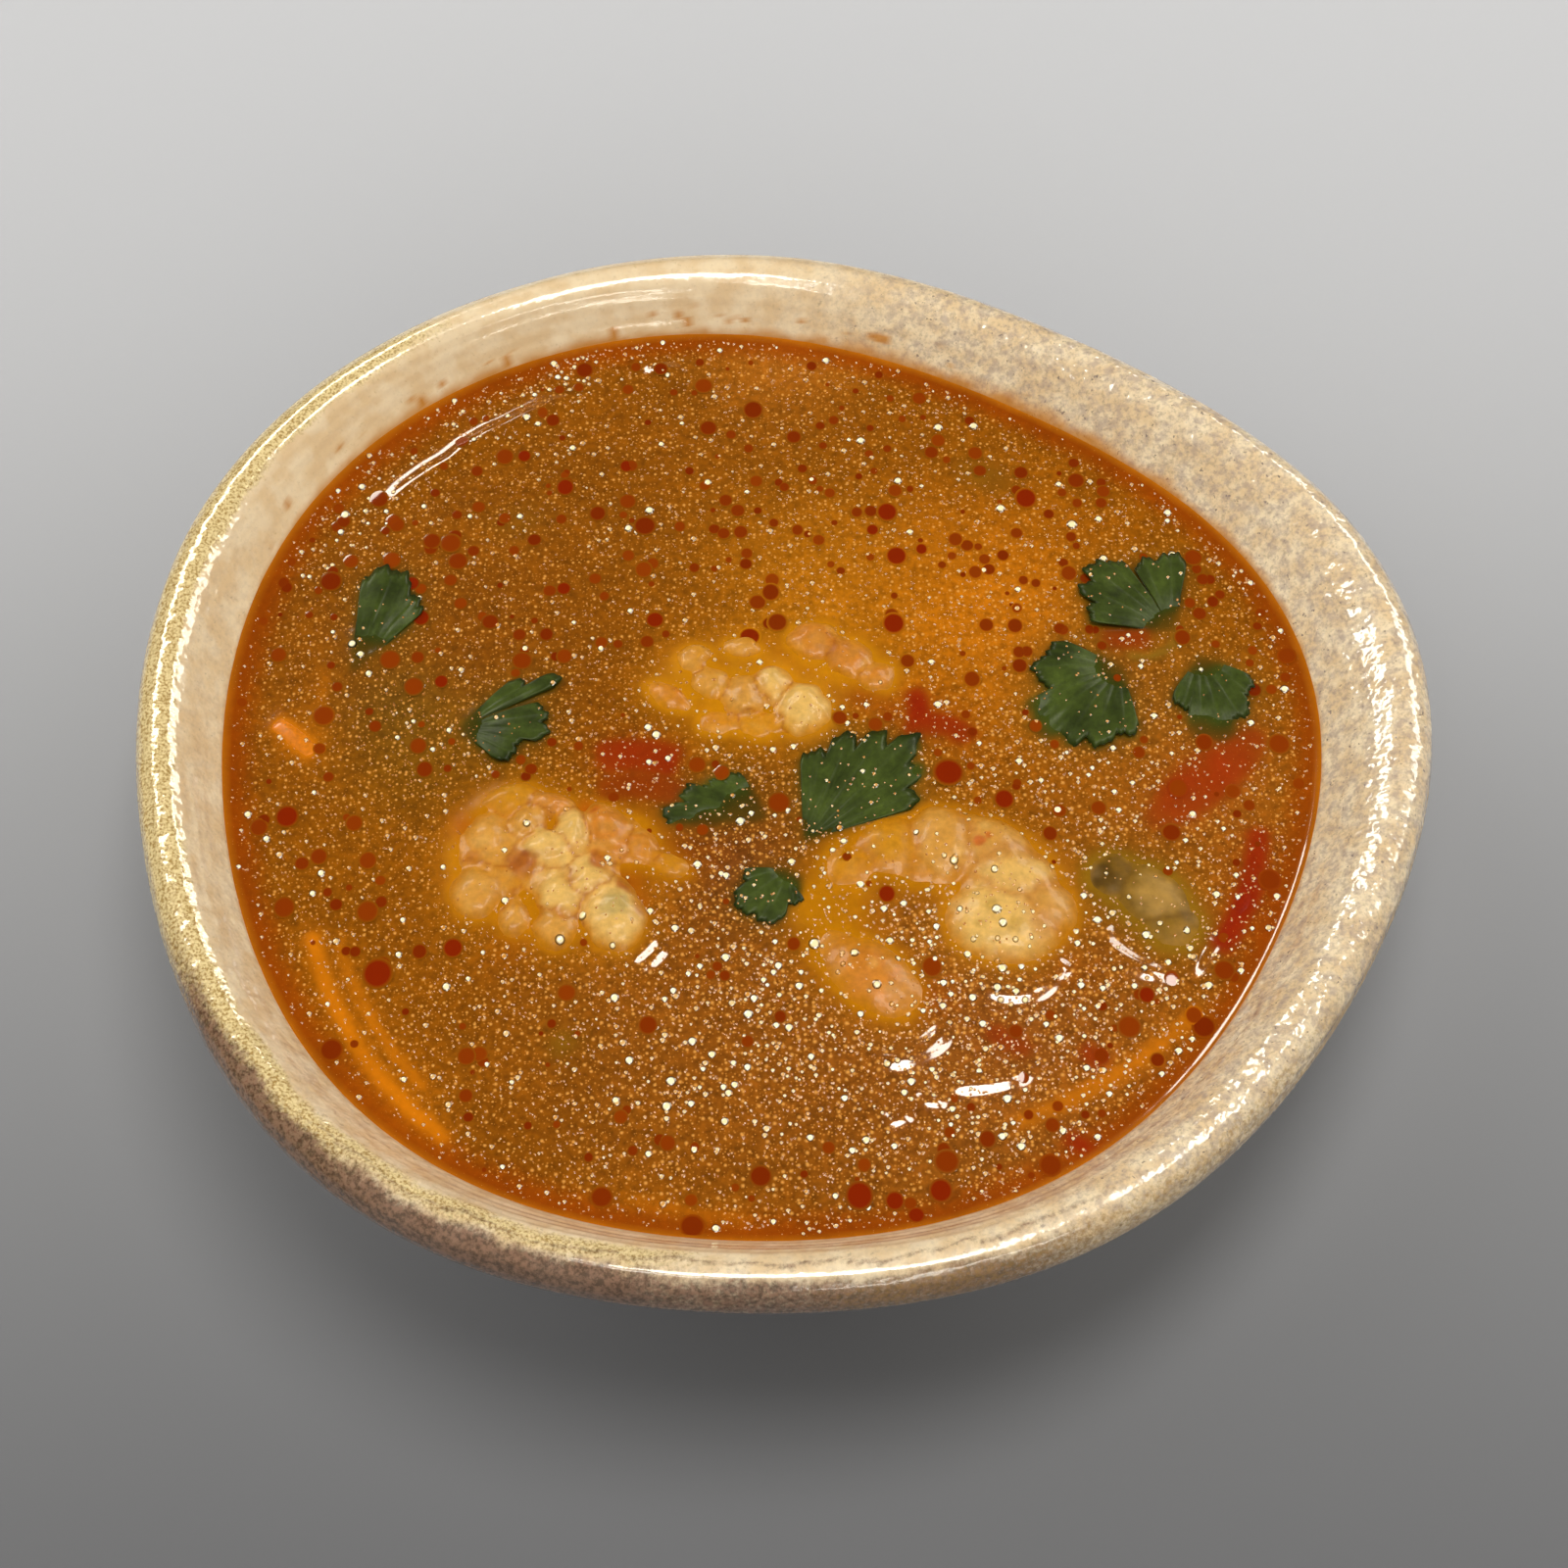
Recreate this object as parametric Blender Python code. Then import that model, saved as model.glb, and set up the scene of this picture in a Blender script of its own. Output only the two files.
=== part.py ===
"""A bowl of tom yum soup.

An uneven, thick-lipped stoneware bowl holds the broth. Three curled prawns, a mushroom piece, a tomato
wedge, pepper strips, carrot strips and coriander leaves lie at the broth's surface.

Metres, +Z up. The origin is on the table under the middle of the bowl, which stands on its foot ring.
Places on the broth are (x, y, height above the broth's surface).
"""

import math

import bmesh
import bpy
from mathutils import Euler, Matrix, Vector

MM = 0.001

# The bowl: a turned wall whose rim and broth line stray from round in a few waves round the bowl.
# Each wave is (waves in one turn, height, degrees from +X to its first peak).
RIM_RADIUS = 99.7 * MM
RIM_WAVES = (
    (1, 2.8 * MM, 189),
    (2, 3.7 * MM, -8),
    (3, 2.2 * MM, 8),
    (4, 0.6 * MM, 24),
    (5, 1.2 * MM, 13),
)
BROTH_RADIUS = 85.3 * MM
BROTH_WAVES = (
    (1, 4.5 * MM, 195),
    (2, 2.8 * MM, -16),
    (3, 1.9 * MM, 8),
    (4, 0.8 * MM, 29),
    (5, 0.8 * MM, 13),
)
RIM_HEIGHT = 60 * MM
BROTH_HEIGHT = 50.5 * MM
FOOT_RADIUS = 45 * MM
FOOT_WIDTH = 7 * MM
FOOT_HOLLOW = 2 * MM
STEPS_ROUND = 56

# Wall points as (radius, height, share of the rim's waves, share of the broth line's waves).
OUTSIDE = (
    (FOOT_RADIUS, 5 * MM, 0.0, 0.0),
    (55 * MM, 10.5 * MM, 0.2, 0.0),
    (68 * MM, 20 * MM, 0.5, 0.0),
    (80 * MM, 30 * MM, 0.75, 0.0),
    (89.5 * MM, 39.5 * MM, 0.9, 0.0),
    (95.5 * MM, 46.5 * MM, 1.0, 0.0),
    (99 * MM, 51.5 * MM, 1.0, 0.0),
    (RIM_RADIUS, 54.5 * MM, 1.0, 0.0),
    (99 * MM, 57.6 * MM, 1.0, 0.0),
    (97.2 * MM, 59.4 * MM, 1.0, 0.0),
    (95 * MM, RIM_HEIGHT, 1.0, 0.0),
)
INSIDE = (
    (92.6 * MM, 59.2 * MM, 0.8, 0.2),
    (90.3 * MM, 57.2 * MM, 0.5, 0.5),
    (87.8 * MM, 54 * MM, 0.2, 0.8),
    (BROTH_RADIUS, BROTH_HEIGHT, 0.0, 1.0),
    (81 * MM, 44 * MM, 0.0, 1.0),
    (74.5 * MM, 36 * MM, 0.0, 0.9),
    (65.5 * MM, 28 * MM, 0.0, 0.7),
    (54 * MM, 20.8 * MM, 0.0, 0.5),
    (40 * MM, 14.6 * MM, 0.0, 0.3),
    (23 * MM, 11.4 * MM, 0.0, 0.1),
    (0.0, 10.5 * MM, 0.0, 0.0),
)
BROTH_LINE = 3  # the place in INSIDE where the broth's surface meets the wall

GAP = 0.3 * MM  # left between pieces that touch
POCKET_GAP = 0.6 * MM  # left round a piece that the broth is cut round

# Rounded pieces: lobes as (x, y, height, half sizes along, across and up, degrees turned).
PRAWN_LEFT = (
    (-19.5, -19.5, -1.5, 5.2, 3.2, 2.0, 35),
    (-24.0, -14.2, -1.2, 6.0, 4.4, 2.6, 125),
    (-30.5, -10.8, -1.3, 6.2, 5.0, 3.2, 160),
    (-39.0, -9.6, -1.4, 6.4, 5.4, 3.3, 178),
    (-46.2, -14.2, -1.1, 5.2, 6.2, 3.5, 30),
    (-48.2, -23.2, -1.2, 5.2, 6.8, 3.8, 5),
    (-42.0, -29.6, -1.5, 4.6, 4.6, 3.0, 0),
    (-35.4, -28.8, -1.1, 4.4, 5.6, 3.5, -15),
    (-28.6, -27.2, -0.8, 5.4, 7.4, 3.8, 20),
    (-37.4, -15.0, -0.8, 5.2, 3.6, 2.6, 20),
    (-28.4, -14.0, -0.6, 3.0, 5.0, 2.1, -35),
)
PRAWN_CENTRE = (
    (2.6, 7.0, -1.6, 4.8, 5.0, 2.9, 10),
    (-4.4, 9.2, -1.7, 4.8, 4.6, 3.0, 40),
    (-2.6, 14.6, -1.7, 3.8, 4.0, 2.7, 0),
    (-10.6, 12.4, -1.9, 4.6, 4.2, 3.0, 60),
    (-14.8, 16.6, -2.1, 4.6, 4.4, 3.2, 20),
    (-18.4, 11.6, -2.5, 4.0, 4.6, 2.9, 40),
    (-9.0, 19.4, -2.2, 5.6, 3.8, 3.2, -20),
    (-10.4, 4.8, -2.5, 4.6, 3.4, 2.9, 0),
    (-1.0, 20.4, -2.0, 5.6, 3.4, 2.9, -5),
    (4.6, 19.6, -1.5, 5.2, 3.4, 2.6, -35),
    (10.2, 15.8, -1.4, 5.6, 3.4, 2.4, -38),
    (15.0, 12.8, -1.5, 3.4, 3.0, 2.1, -30),
)
PRAWN_RIGHT = (
    (35.0, -28.2, -1.1, 8.2, 8.6, 4.0, 25),
    (35.6, -20.6, -1.2, 6.2, 5.6, 3.8, -40),
    (28.6, -16.8, -1.3, 5.6, 6.6, 3.6, -10),
    (22.0, -17.4, -1.3, 4.6, 6.8, 3.5, 8),
    (14.4, -17.6, -1.7, 5.6, 5.6, 3.3, 20),
    (8.0, -22.4, -2.0, 4.8, 5.6, 3.0, 30),
    (6.0, -30.4, -2.0, 4.2, 5.8, 2.9, 0),
    (9.6, -37.0, -1.4, 4.6, 5.2, 2.7, 40),
    (15.0, -41.4, -1.1, 6.4, 5.2, 2.9, -35),
)
MUSHROOM = (
    (55.6, -28.0, -1.0, 9.6, 6.6, 3.4, -38),
    (52.4, -24.0, -1.1, 5.2, 6.6, 2.9, 20),
    (59.4, -31.4, -1.2, 5.4, 5.4, 2.7, 0),
)
PRAWNS = {"prawn_left": PRAWN_LEFT, "prawn_centre": PRAWN_CENTRE, "prawn_right": PRAWN_RIGHT}
REMESH_SIZE = 1.3 * MM
PRAWN_TRIANGLES = 480
MUSHROOM_TRIANGLES = 260

# Strips bent round an upright axis: (centre x, y, bend radius, width, depth, start and end in degrees).
CARROTS = {
    "carrot_strip_left": (-100.0, -22.0, 32.0, 3.4, 2.4, 56, 39),
    "carrot_strip_front_left": (-15.0, -20.0, 59.5, 3.4, 2.4, 193, 234),
    "carrot_strip_front_right": (2.0, 15.0, 87.0, 3.4, 2.4, 292, 315),
}
PEPPERS = {
    "pepper_strip": (36.0, -13.5, 38.6, 5.2, 1.9, 323, 364),
    "pepper_bit": (24.6, -1.0, 5.2, 4.6, 1.6, 20, 115),
    "pepper_slice": (-24.0, -26.6, 24.6, 4.4, 1.8, 72, 104),
}
STRIP_RISE = 0.5 * MM  # how far strips and the wedge stand out of the broth
STRIP_STEPS = 10

TOMATO = (67.2, -6.0, 26.0, 9.0, 6.0, 42)  # middle x, y, length, width, depth, degrees turned
WEDGE_LEAN = 0.55  # how far the wedge's two cuts lean from flat

# Leaves as (x, y of the stalk end, length, width, degrees the tip points to, lobes, how far the sides lift).
LEAVES = {
    "coriander_leaf_1": (-69.2, 14.2, 20.5, 9.0, 79, 3, 1.6),
    "coriander_leaf_2": (-53.4, 3.2, 17.0, 13.0, 14, 3, 1.4),
    "coriander_leaf_3": (-2.6, -11.0, 16.0, 8.5, 170, 5, 0.8),
    "coriander_leaf_4": (4.2, -9.4, 18.0, 16.0, 32, 5, 1.2),
    "coriander_leaf_5": (0.6, -19.6, 11.0, 9.0, 242, 3, 1.0),
    "coriander_leaf_6": (62.6, 24.0, 15.0, 13.5, 138, 5, 1.0),
    "coriander_leaf_7": (58.2, 16.2, 17.0, 15.0, 206, 5, 1.2),
    "coriander_leaf_8": (65.8, 17.4, 15.5, 9.5, 294, 3, 1.4),
}
LEAF_THICKNESS = 0.5 * MM
LEAF_LIFT = 0.35 * MM  # the underside's height above the broth
LEAF_STEPS = 19
LEAF_RINGS = 2


def clear_scene():
    for item in list(bpy.data.objects):
        bpy.data.objects.remove(item)


def material(name, colour, roughness, metallic=0.0):
    made = bpy.data.materials.new(name)
    made.use_nodes = True
    surface = made.node_tree.nodes["Principled BSDF"]
    surface.inputs["Base Color"].default_value = (*colour, 1.0)
    surface.inputs["Roughness"].default_value = roughness
    surface.inputs["Metallic"].default_value = metallic
    made.diffuse_color = (*colour, 1.0)
    return made


def add_object(name, bm, surface=None):
    """Turns bm into an object of the scene, with its faces outward and shaded smooth."""
    bmesh.ops.recalc_face_normals(bm, faces=bm.faces[:])
    mesh = bpy.data.meshes.new(name)
    bm.to_mesh(mesh)
    bm.free()
    mesh.shade_smooth()
    mesh.set_sharp_from_angle(angle=math.radians(40))
    made = bpy.data.objects.new(name, mesh)
    bpy.context.scene.collection.objects.link(made)
    if surface:
        mesh.materials.append(surface)
    return made


def add_modifier(item, kind, **settings):
    modifier = item.modifiers.new(kind.title(), kind)
    for name, value in settings.items():
        setattr(modifier, name, value)
    return modifier


# --- the bowl and its broth ---


def stray(waves, angle):
    """How far a line with these waves lies outside its mean circle at an angle."""
    return sum(
        height * math.cos(count * (angle - math.radians(first)))
        for count, height, first in waves
    )


def rim_centre():
    """The middle of the rim's box, so that the bowl can stand centred on the origin."""
    ring = []
    for step in range(360):
        angle = math.radians(step)
        radius = RIM_RADIUS + stray(RIM_WAVES, angle)
        ring.append((radius * math.cos(angle), radius * math.sin(angle)))
    xs, ys = zip(*ring)
    return Vector(((min(xs) + max(xs)) / 2, (min(ys) + max(ys)) / 2, 0))


def turn(points):
    """A closed body turned from a wall profile that starts and ends on the axis, then pushed out of round."""
    bm = bmesh.new()
    rim_share = bm.verts.layers.float.new("rim_share")
    broth_share = bm.verts.layers.float.new("broth_share")
    profile = []
    for radius, height, rim, broth in points:
        corner = bm.verts.new((radius, 0, height))
        corner[rim_share] = rim
        corner[broth_share] = broth
        profile.append(corner)
    edges = [bm.edges.new(pair) for pair in zip(profile, profile[1:])]
    bmesh.ops.spin(
        bm,
        geom=profile + edges,
        cent=(0, 0, 0),
        axis=(0, 0, 1),
        angle=math.tau,
        steps=STEPS_ROUND,
        use_merge=True,
    )
    bmesh.ops.remove_doubles(bm, verts=bm.verts[:], dist=0.01 * MM)
    centre = rim_centre()
    for corner in bm.verts:
        angle = math.atan2(corner.co.y, corner.co.x)
        shift = corner[rim_share] * stray(RIM_WAVES, angle)
        shift += corner[broth_share] * stray(BROTH_WAVES, angle)
        away = Vector((math.cos(angle), math.sin(angle), 0))
        corner.co += away * shift - centre * max(corner[rim_share], corner[broth_share])
    return bm


def add_bowl():
    inner_edge = FOOT_RADIUS - FOOT_WIDTH
    foot = (
        (0.0, FOOT_HOLLOW, 0.0, 0.0),
        (inner_edge - 1 * MM, FOOT_HOLLOW, 0.0, 0.0),
        (inner_edge, 0.0, 0.0, 0.0),
        (FOOT_RADIUS - 1 * MM, 0.0, 0.0, 0.0),
        (FOOT_RADIUS, 1 * MM, 0.0, 0.0),
    )
    glaze = material("glazed_stoneware", (0.58, 0.48, 0.34), 0.22)
    return add_object("bowl", turn(foot + OUTSIDE + INSIDE), glaze)


def add_broth():
    """The broth fills the bowl up to its surface, a gap inside the wall."""
    wall = [
        (max(radius - GAP, 0.0), height + GAP, rim, broth)
        for radius, height, rim, broth in INSIDE[BROTH_LINE + 1 :]
    ]
    radius, height, rim, broth = INSIDE[BROTH_LINE]
    surface = ((0.0, height, 0.0, 0.0), (radius - 2 * GAP, height, rim, broth))
    liquid = material("tom_yum_broth", (0.36, 0.13, 0.015), 0.12)
    return add_object("broth", turn(surface + tuple(wall)), liquid)


# --- pieces that the broth is cut round, each grown by `grow` for its pocket ---


def evaluated(item):
    """An object with its modifiers worked out."""
    graph = bpy.context.evaluated_depsgraph_get()
    graph.update()
    return item.evaluated_get(graph)


def add_lobes(name, shape, surface, grow=0.0):
    """One soft body grown from overlapping lobes."""
    lobes, triangles = shape
    bm = bmesh.new()
    for x, y, height, along, across, up, degrees in lobes:
        place = Matrix.LocRotScale(
            Vector((x * MM, y * MM, BROTH_HEIGHT + height * MM)),
            Euler((0, 0, math.radians(degrees))),
            Vector((along * MM + grow, across * MM + grow, up * MM + grow)),
        )
        bmesh.ops.create_icosphere(bm, subdivisions=3, radius=1, matrix=place)
    made = add_object(name, bm, surface)
    add_modifier(made, "REMESH", mode="VOXEL", voxel_size=REMESH_SIZE, use_smooth_shade=True)
    add_modifier(made, "SMOOTH", iterations=2)
    share = triangles / (2 * len(evaluated(made).data.polygons))
    add_modifier(made, "DECIMATE", ratio=min(share, 1.0))
    return made


def add_strip(name, shape, surface, grow=0.0):
    """A cut strip, bent round an upright axis."""
    x, y, radius, width, depth, start, end = shape
    half = width * MM / 2 + grow
    top = BROTH_HEIGHT + STRIP_RISE + grow
    base = BROTH_HEIGHT + STRIP_RISE - depth * MM - grow
    turn_more = math.copysign(grow / (radius * MM), end - start)
    first = math.radians(start) - turn_more
    last = math.radians(end) + turn_more
    bm = bmesh.new()
    corners = [
        bm.verts.new((radius * MM + side * half, 0, level))
        for side, level in ((-1, top), (1, top), (1, base), (-1, base))
    ]
    section = bm.faces.new(corners)
    bmesh.ops.rotate(bm, verts=corners, cent=(0, 0, 0), matrix=Matrix.Rotation(first, 3, "Z"))
    bmesh.ops.spin(
        bm,
        geom=[section],
        cent=(0, 0, 0),
        axis=(0, 0, 1),
        angle=last - first,
        steps=STRIP_STEPS,
    )
    bmesh.ops.contextual_create(bm, geom=corners)
    bmesh.ops.translate(bm, verts=bm.verts[:], vec=(x * MM, y * MM, 0))
    return add_object(name, bm, surface)


def add_wedge(name, shape, surface, grow=0.0):
    """A wedge cut lengthwise from a round fruit: a curved skin over two flat cuts that meet at an edge."""
    x, y, length, width, depth, degrees = shape
    bm = bmesh.new()
    bmesh.ops.create_uvsphere(bm, u_segments=20, v_segments=12, radius=1)
    for side in (-1, 1):
        cut = bmesh.ops.bisect_plane(
            bm,
            geom=bm.verts[:] + bm.edges[:] + bm.faces[:],
            plane_co=(0, 0, 0),
            plane_no=Vector((0.0, side * WEDGE_LEAN, -1.0)),
            clear_outer=True,
        )
        rim = [item for item in cut["geom_cut"] if isinstance(item, bmesh.types.BMEdge)]
        bmesh.ops.contextual_create(bm, geom=rim)
    halves = (length * MM / 2 + grow, width * MM / 2 + grow, depth * MM + 2 * grow)
    bmesh.ops.scale(bm, verts=bm.verts[:], vec=halves)
    spin = Matrix.Rotation(math.radians(degrees), 3, "Z")
    bmesh.ops.rotate(bm, verts=bm.verts[:], cent=(0, 0, 0), matrix=spin)
    base = BROTH_HEIGHT + STRIP_RISE - depth * MM - grow
    bmesh.ops.translate(bm, verts=bm.verts[:], vec=(x * MM, y * MM, base))
    return add_object(name, bm, surface)


def add_with_pocket(build, name, shape, surface, pockets):
    """Builds a piece, and a grown copy of it that cuts the broth."""
    build(name, shape, surface)
    pocket = build(f"pocket_{name}", shape, None, grow=POCKET_GAP)
    pocket.hide_render = True
    pocket.display_type = "WIRE"
    bpy.context.scene.collection.objects.unlink(pocket)
    pockets.objects.link(pocket)


def connected(start):
    """The corners joined to start by edges."""
    found = {start}
    edge = [start]
    while edge:
        corner = edge.pop()
        for link in corner.link_edges:
            other = link.other_vert(corner)
            if other not in found:
                found.add(other)
                edge.append(other)
    return found


def cut_pockets(broth, pockets):
    """Cuts the broth round its pieces, and drops the slivers that a ring of pockets cuts off."""
    cut = {"operation": "DIFFERENCE", "operand_type": "COLLECTION", "collection": pockets}
    modifier = add_modifier(broth, "BOOLEAN", **cut)
    whole = bpy.data.meshes.new_from_object(evaluated(broth))
    broth.modifiers.remove(modifier)
    bm = bmesh.new()
    bm.from_mesh(whole)
    bpy.data.meshes.remove(whole)
    floor = min(bm.verts, key=lambda corner: corner.co.z)
    body = connected(floor)
    bmesh.ops.delete(bm, geom=[corner for corner in bm.verts if corner not in body], context="VERTS")
    bm.to_mesh(broth.data)
    bm.free()
    broth.data.set_sharp_from_angle(angle=math.radians(40))


# --- leaves ---


def leaf_edge(share, lobes):
    """The leaf's reach, from 0 to 1, towards share (-1 to 1) of its fan."""
    fingers = abs(math.cos(math.pi * lobes * (share + 1) / 2 + math.pi / 2)) ** 0.6
    return (0.74 + 0.26 * fingers) * (1 - 0.22 * share * share)


def add_leaf(name, shape, surface):
    """A thin fan-shaped leaf with rounded lobes, its sides lifted a little."""
    x, y, length, width, degrees, lobes, cup = shape
    bm = bmesh.new()
    stalk = bm.verts.new((0, 0, 0))
    rings = []
    for ring in range(1, LEAF_RINGS + 1):
        reach = ring / LEAF_RINGS
        row = []
        for step in range(LEAF_STEPS):
            share = 2 * step / (LEAF_STEPS - 1) - 1
            angle = share * math.radians(78)
            edge = reach * leaf_edge(share, lobes)
            along = edge * length * math.cos(angle)
            across = edge * width / 2 * math.sin(angle) / math.sin(math.radians(78)) * 1.25
            lift = cup * (share * reach) ** 2
            row.append(bm.verts.new((along * MM, across * MM, lift * MM)))
        rings.append(row)
    for a, b in zip(rings[0], rings[0][1:]):
        bm.faces.new((stalk, a, b))
    for inner, outer in zip(rings, rings[1:]):
        for step in range(LEAF_STEPS - 1):
            bm.faces.new((inner[step], outer[step], outer[step + 1], inner[step + 1]))
    grown = bmesh.ops.extrude_face_region(bm, geom=bm.faces[:], use_keep_orig=True)
    upper = [item for item in grown["geom"] if isinstance(item, bmesh.types.BMVert)]
    bmesh.ops.translate(bm, verts=upper, vec=(0, 0, LEAF_THICKNESS))
    made = add_object(name, bm, surface)
    made.location = (x * MM, y * MM, BROTH_HEIGHT + LEAF_LIFT)
    made.rotation_euler.z = math.radians(degrees)
    return made


def main():
    clear_scene()
    add_bowl()
    broth = add_broth()
    pockets = bpy.data.collections.new("pockets")
    bpy.context.scene.collection.children.link(pockets)
    prawn = material("cooked_prawn", (0.75, 0.42, 0.14), 0.3)
    for name, lobes in PRAWNS.items():
        add_with_pocket(add_lobes, name, (lobes, PRAWN_TRIANGLES), prawn, pockets)
    mushroom = material("straw_mushroom", (0.25, 0.2, 0.08), 0.25)
    add_with_pocket(add_lobes, "mushroom_piece", (MUSHROOM, MUSHROOM_TRIANGLES), mushroom, pockets)
    tomato = material("tomato_flesh", (0.42, 0.04, 0.01), 0.25)
    add_with_pocket(add_wedge, "tomato_wedge", TOMATO, tomato, pockets)
    carrot = material("carrot", (0.62, 0.2, 0.01), 0.35)
    for name, shape in CARROTS.items():
        add_with_pocket(add_strip, name, shape, carrot, pockets)
    pepper = material("red_pepper", (0.4, 0.02, 0.008), 0.25)
    for name, shape in PEPPERS.items():
        add_with_pocket(add_strip, name, shape, pepper, pockets)
    cut_pockets(broth, pockets)
    leaf = material("coriander", (0.05, 0.08, 0.015), 0.3)
    for name, shape in LEAVES.items():
        add_leaf(name, shape, leaf)


main()
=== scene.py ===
"""The looks of a bowl of tom yum soup: every finish, the fine shapes and the small things.

Metres, +Z up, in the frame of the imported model. The bowl stands on z = 0 round the origin, +X points to
its pointed side and -Y to the viewer. Places and sizes in tables are in millimetres, and heights there
are measured from the broth's surface.
"""

import logging
import math
from collections.abc import Callable, Sequence
from dataclasses import dataclass, field
from enum import Enum
from functools import partial
from typing import Any, ClassVar

import bmesh
import bpy
import numpy as np
from mathutils import Euler, Matrix, Vector, noise
from mathutils.bvhtree import BVHTree
from mathutils.kdtree import KDTree


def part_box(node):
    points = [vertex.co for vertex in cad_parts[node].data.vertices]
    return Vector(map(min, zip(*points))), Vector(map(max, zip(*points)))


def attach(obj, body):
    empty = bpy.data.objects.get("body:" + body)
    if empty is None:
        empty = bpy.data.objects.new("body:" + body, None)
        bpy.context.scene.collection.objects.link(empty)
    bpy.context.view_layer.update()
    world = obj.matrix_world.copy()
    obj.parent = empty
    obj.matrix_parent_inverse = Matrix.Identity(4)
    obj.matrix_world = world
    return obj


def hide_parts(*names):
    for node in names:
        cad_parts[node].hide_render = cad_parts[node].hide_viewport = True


logging.basicConfig(level=logging.INFO, format="%(message)s")
log = logging.getLogger("tom_yum")

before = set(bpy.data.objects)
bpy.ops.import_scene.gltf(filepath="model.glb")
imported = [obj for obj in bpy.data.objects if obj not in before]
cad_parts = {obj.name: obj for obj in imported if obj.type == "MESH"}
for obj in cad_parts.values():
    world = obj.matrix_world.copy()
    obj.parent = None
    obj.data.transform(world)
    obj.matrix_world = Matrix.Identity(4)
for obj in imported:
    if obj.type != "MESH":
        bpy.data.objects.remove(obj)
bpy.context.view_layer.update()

Tree = bpy.types.NodeTree
Socket = bpy.types.NodeSocket

MM = 0.001
BODY = "root"
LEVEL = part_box("broth")[1].z
RIM_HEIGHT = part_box("bowl")[1].z
UP = Vector((0, 0, 1))
# Rays that look for the open surface start this high.
OVER_ALL = LEVEL + 20 * MM
# Settings of a step that eases in and out, and of a mixture of colours, whose sockets 0, 6 and 7 are the
# share, the first colour and the second.
SMOOTH = {"interpolation_type": "SMOOTHSTEP"}
COLOURS = {"data_type": "RGBA", "out": 2}


# --- small tools ---


def linear(code: str) -> np.ndarray:
    """Turns an sRGB colour into linear light.

    Args:
        code: the colour as a hex string, such as "#c08040".

    Returns:
        Red, green, blue and an alpha of 1.
    """
    parts = np.array([int(code[at : at + 2], 16) / 255 for at in (1, 3, 5)])
    light = np.where(parts <= 0.04045, parts / 12.92, ((parts + 0.055) / 1.055) ** 2.4)
    return np.append(light, 1.0)


def blend(colour: np.ndarray, other: np.ndarray, share: np.ndarray | float) -> np.ndarray:
    """Lays a share of another colour over each of the colours, which are rows."""
    part = np.asarray(share)[..., None]
    return colour * (1 - part) + other * part


def add_node(
    tree: Tree, kind: str, inputs: dict | None = None, out: int | str = 0, **settings: Any
) -> Socket:
    """Adds a shader node with its settings, values and links.

    Args:
        tree: the material's node tree.
        kind: the node's type, without "ShaderNode".
        inputs: for each input socket, a value or the output socket that feeds it.
        out: the output socket that is asked for.
        settings: the node's own properties.

    Returns:
        That output socket of the new node.
    """
    made = tree.nodes.new(f"ShaderNode{kind}")
    for name, value in settings.items():
        setattr(made, name, value)
    for socket, value in (inputs or {}).items():
        if isinstance(value, Socket):
            tree.links.new(value, made.inputs[socket])
        else:
            made.inputs[socket].default_value = value
    return made.outputs[out]


def bumps(place: Socket, size_mm: float, detail: float = 2.0, rough: float = 0.5) -> dict:
    """The inputs of a noise whose bumps are about size_mm wide."""
    return {"Vector": place, "Scale": 1 / (size_mm * MM), "Detail": detail, "Roughness": rough}


def ramp(low: float, high: float, values: np.ndarray) -> np.ndarray:
    """A smooth step from 0 at low to 1 at high, either way round."""
    share = np.clip((values - low) / (high - low), 0, 1)
    return share * share * (3 - 2 * share)


def wander(points: np.ndarray, size: float, seed: float = 0.0) -> np.ndarray:
    """Smooth random values from about -1 to 1.

    Args:
        points: places in metres, one a row.
        size: the width of a typical bump, in metres.
        seed: shifts the pattern.

    Returns:
        One value for each place.
    """
    shift = Vector((seed, seed * 1.7, seed * 0.6))
    scaled = (points / size).tolist()
    return np.array([noise.noise(Vector(row) + shift) for row in scaled])


def vertex_places(mesh: bpy.types.Mesh) -> np.ndarray:
    """The mesh's vertices, one a row."""
    flat = np.empty(len(mesh.vertices) * 3, np.float32)
    mesh.vertices.foreach_get("co", flat)
    return flat.reshape(-1, 3).astype(float)


def move_vertices(mesh: bpy.types.Mesh, places: np.ndarray) -> None:
    """Puts the mesh's vertices at new places."""
    mesh.vertices.foreach_set("co", places.astype(np.float32).ravel())
    mesh.update()


def paint(mesh: bpy.types.Mesh, name: str, values: np.ndarray) -> None:
    """Stores four linear values a vertex under a name that a material reads."""
    layer = mesh.color_attributes.new(name, "FLOAT_COLOR", "POINT")
    layer.data.foreach_set("color", values.astype(np.float32).ravel())


def vertex_tones(mesh: bpy.types.Mesh) -> np.ndarray:
    """The tones painted on the mesh's vertices, one a row."""
    flat = np.empty(len(mesh.vertices) * 4, np.float32)
    mesh.color_attributes["tone"].data.foreach_get("color", flat)
    return flat.reshape(-1, 4).astype(float)


def add_object(name: str, mesh: bpy.types.Mesh) -> bpy.types.Object:
    """Puts a mesh in the scene, shaded smooth.

    Args:
        name: the object's name.
        mesh: its mesh.

    Returns:
        The object.
    """
    mesh.shade_smooth()
    made = bpy.data.objects.new(name, mesh)
    bpy.context.scene.collection.objects.link(made)
    return made


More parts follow.
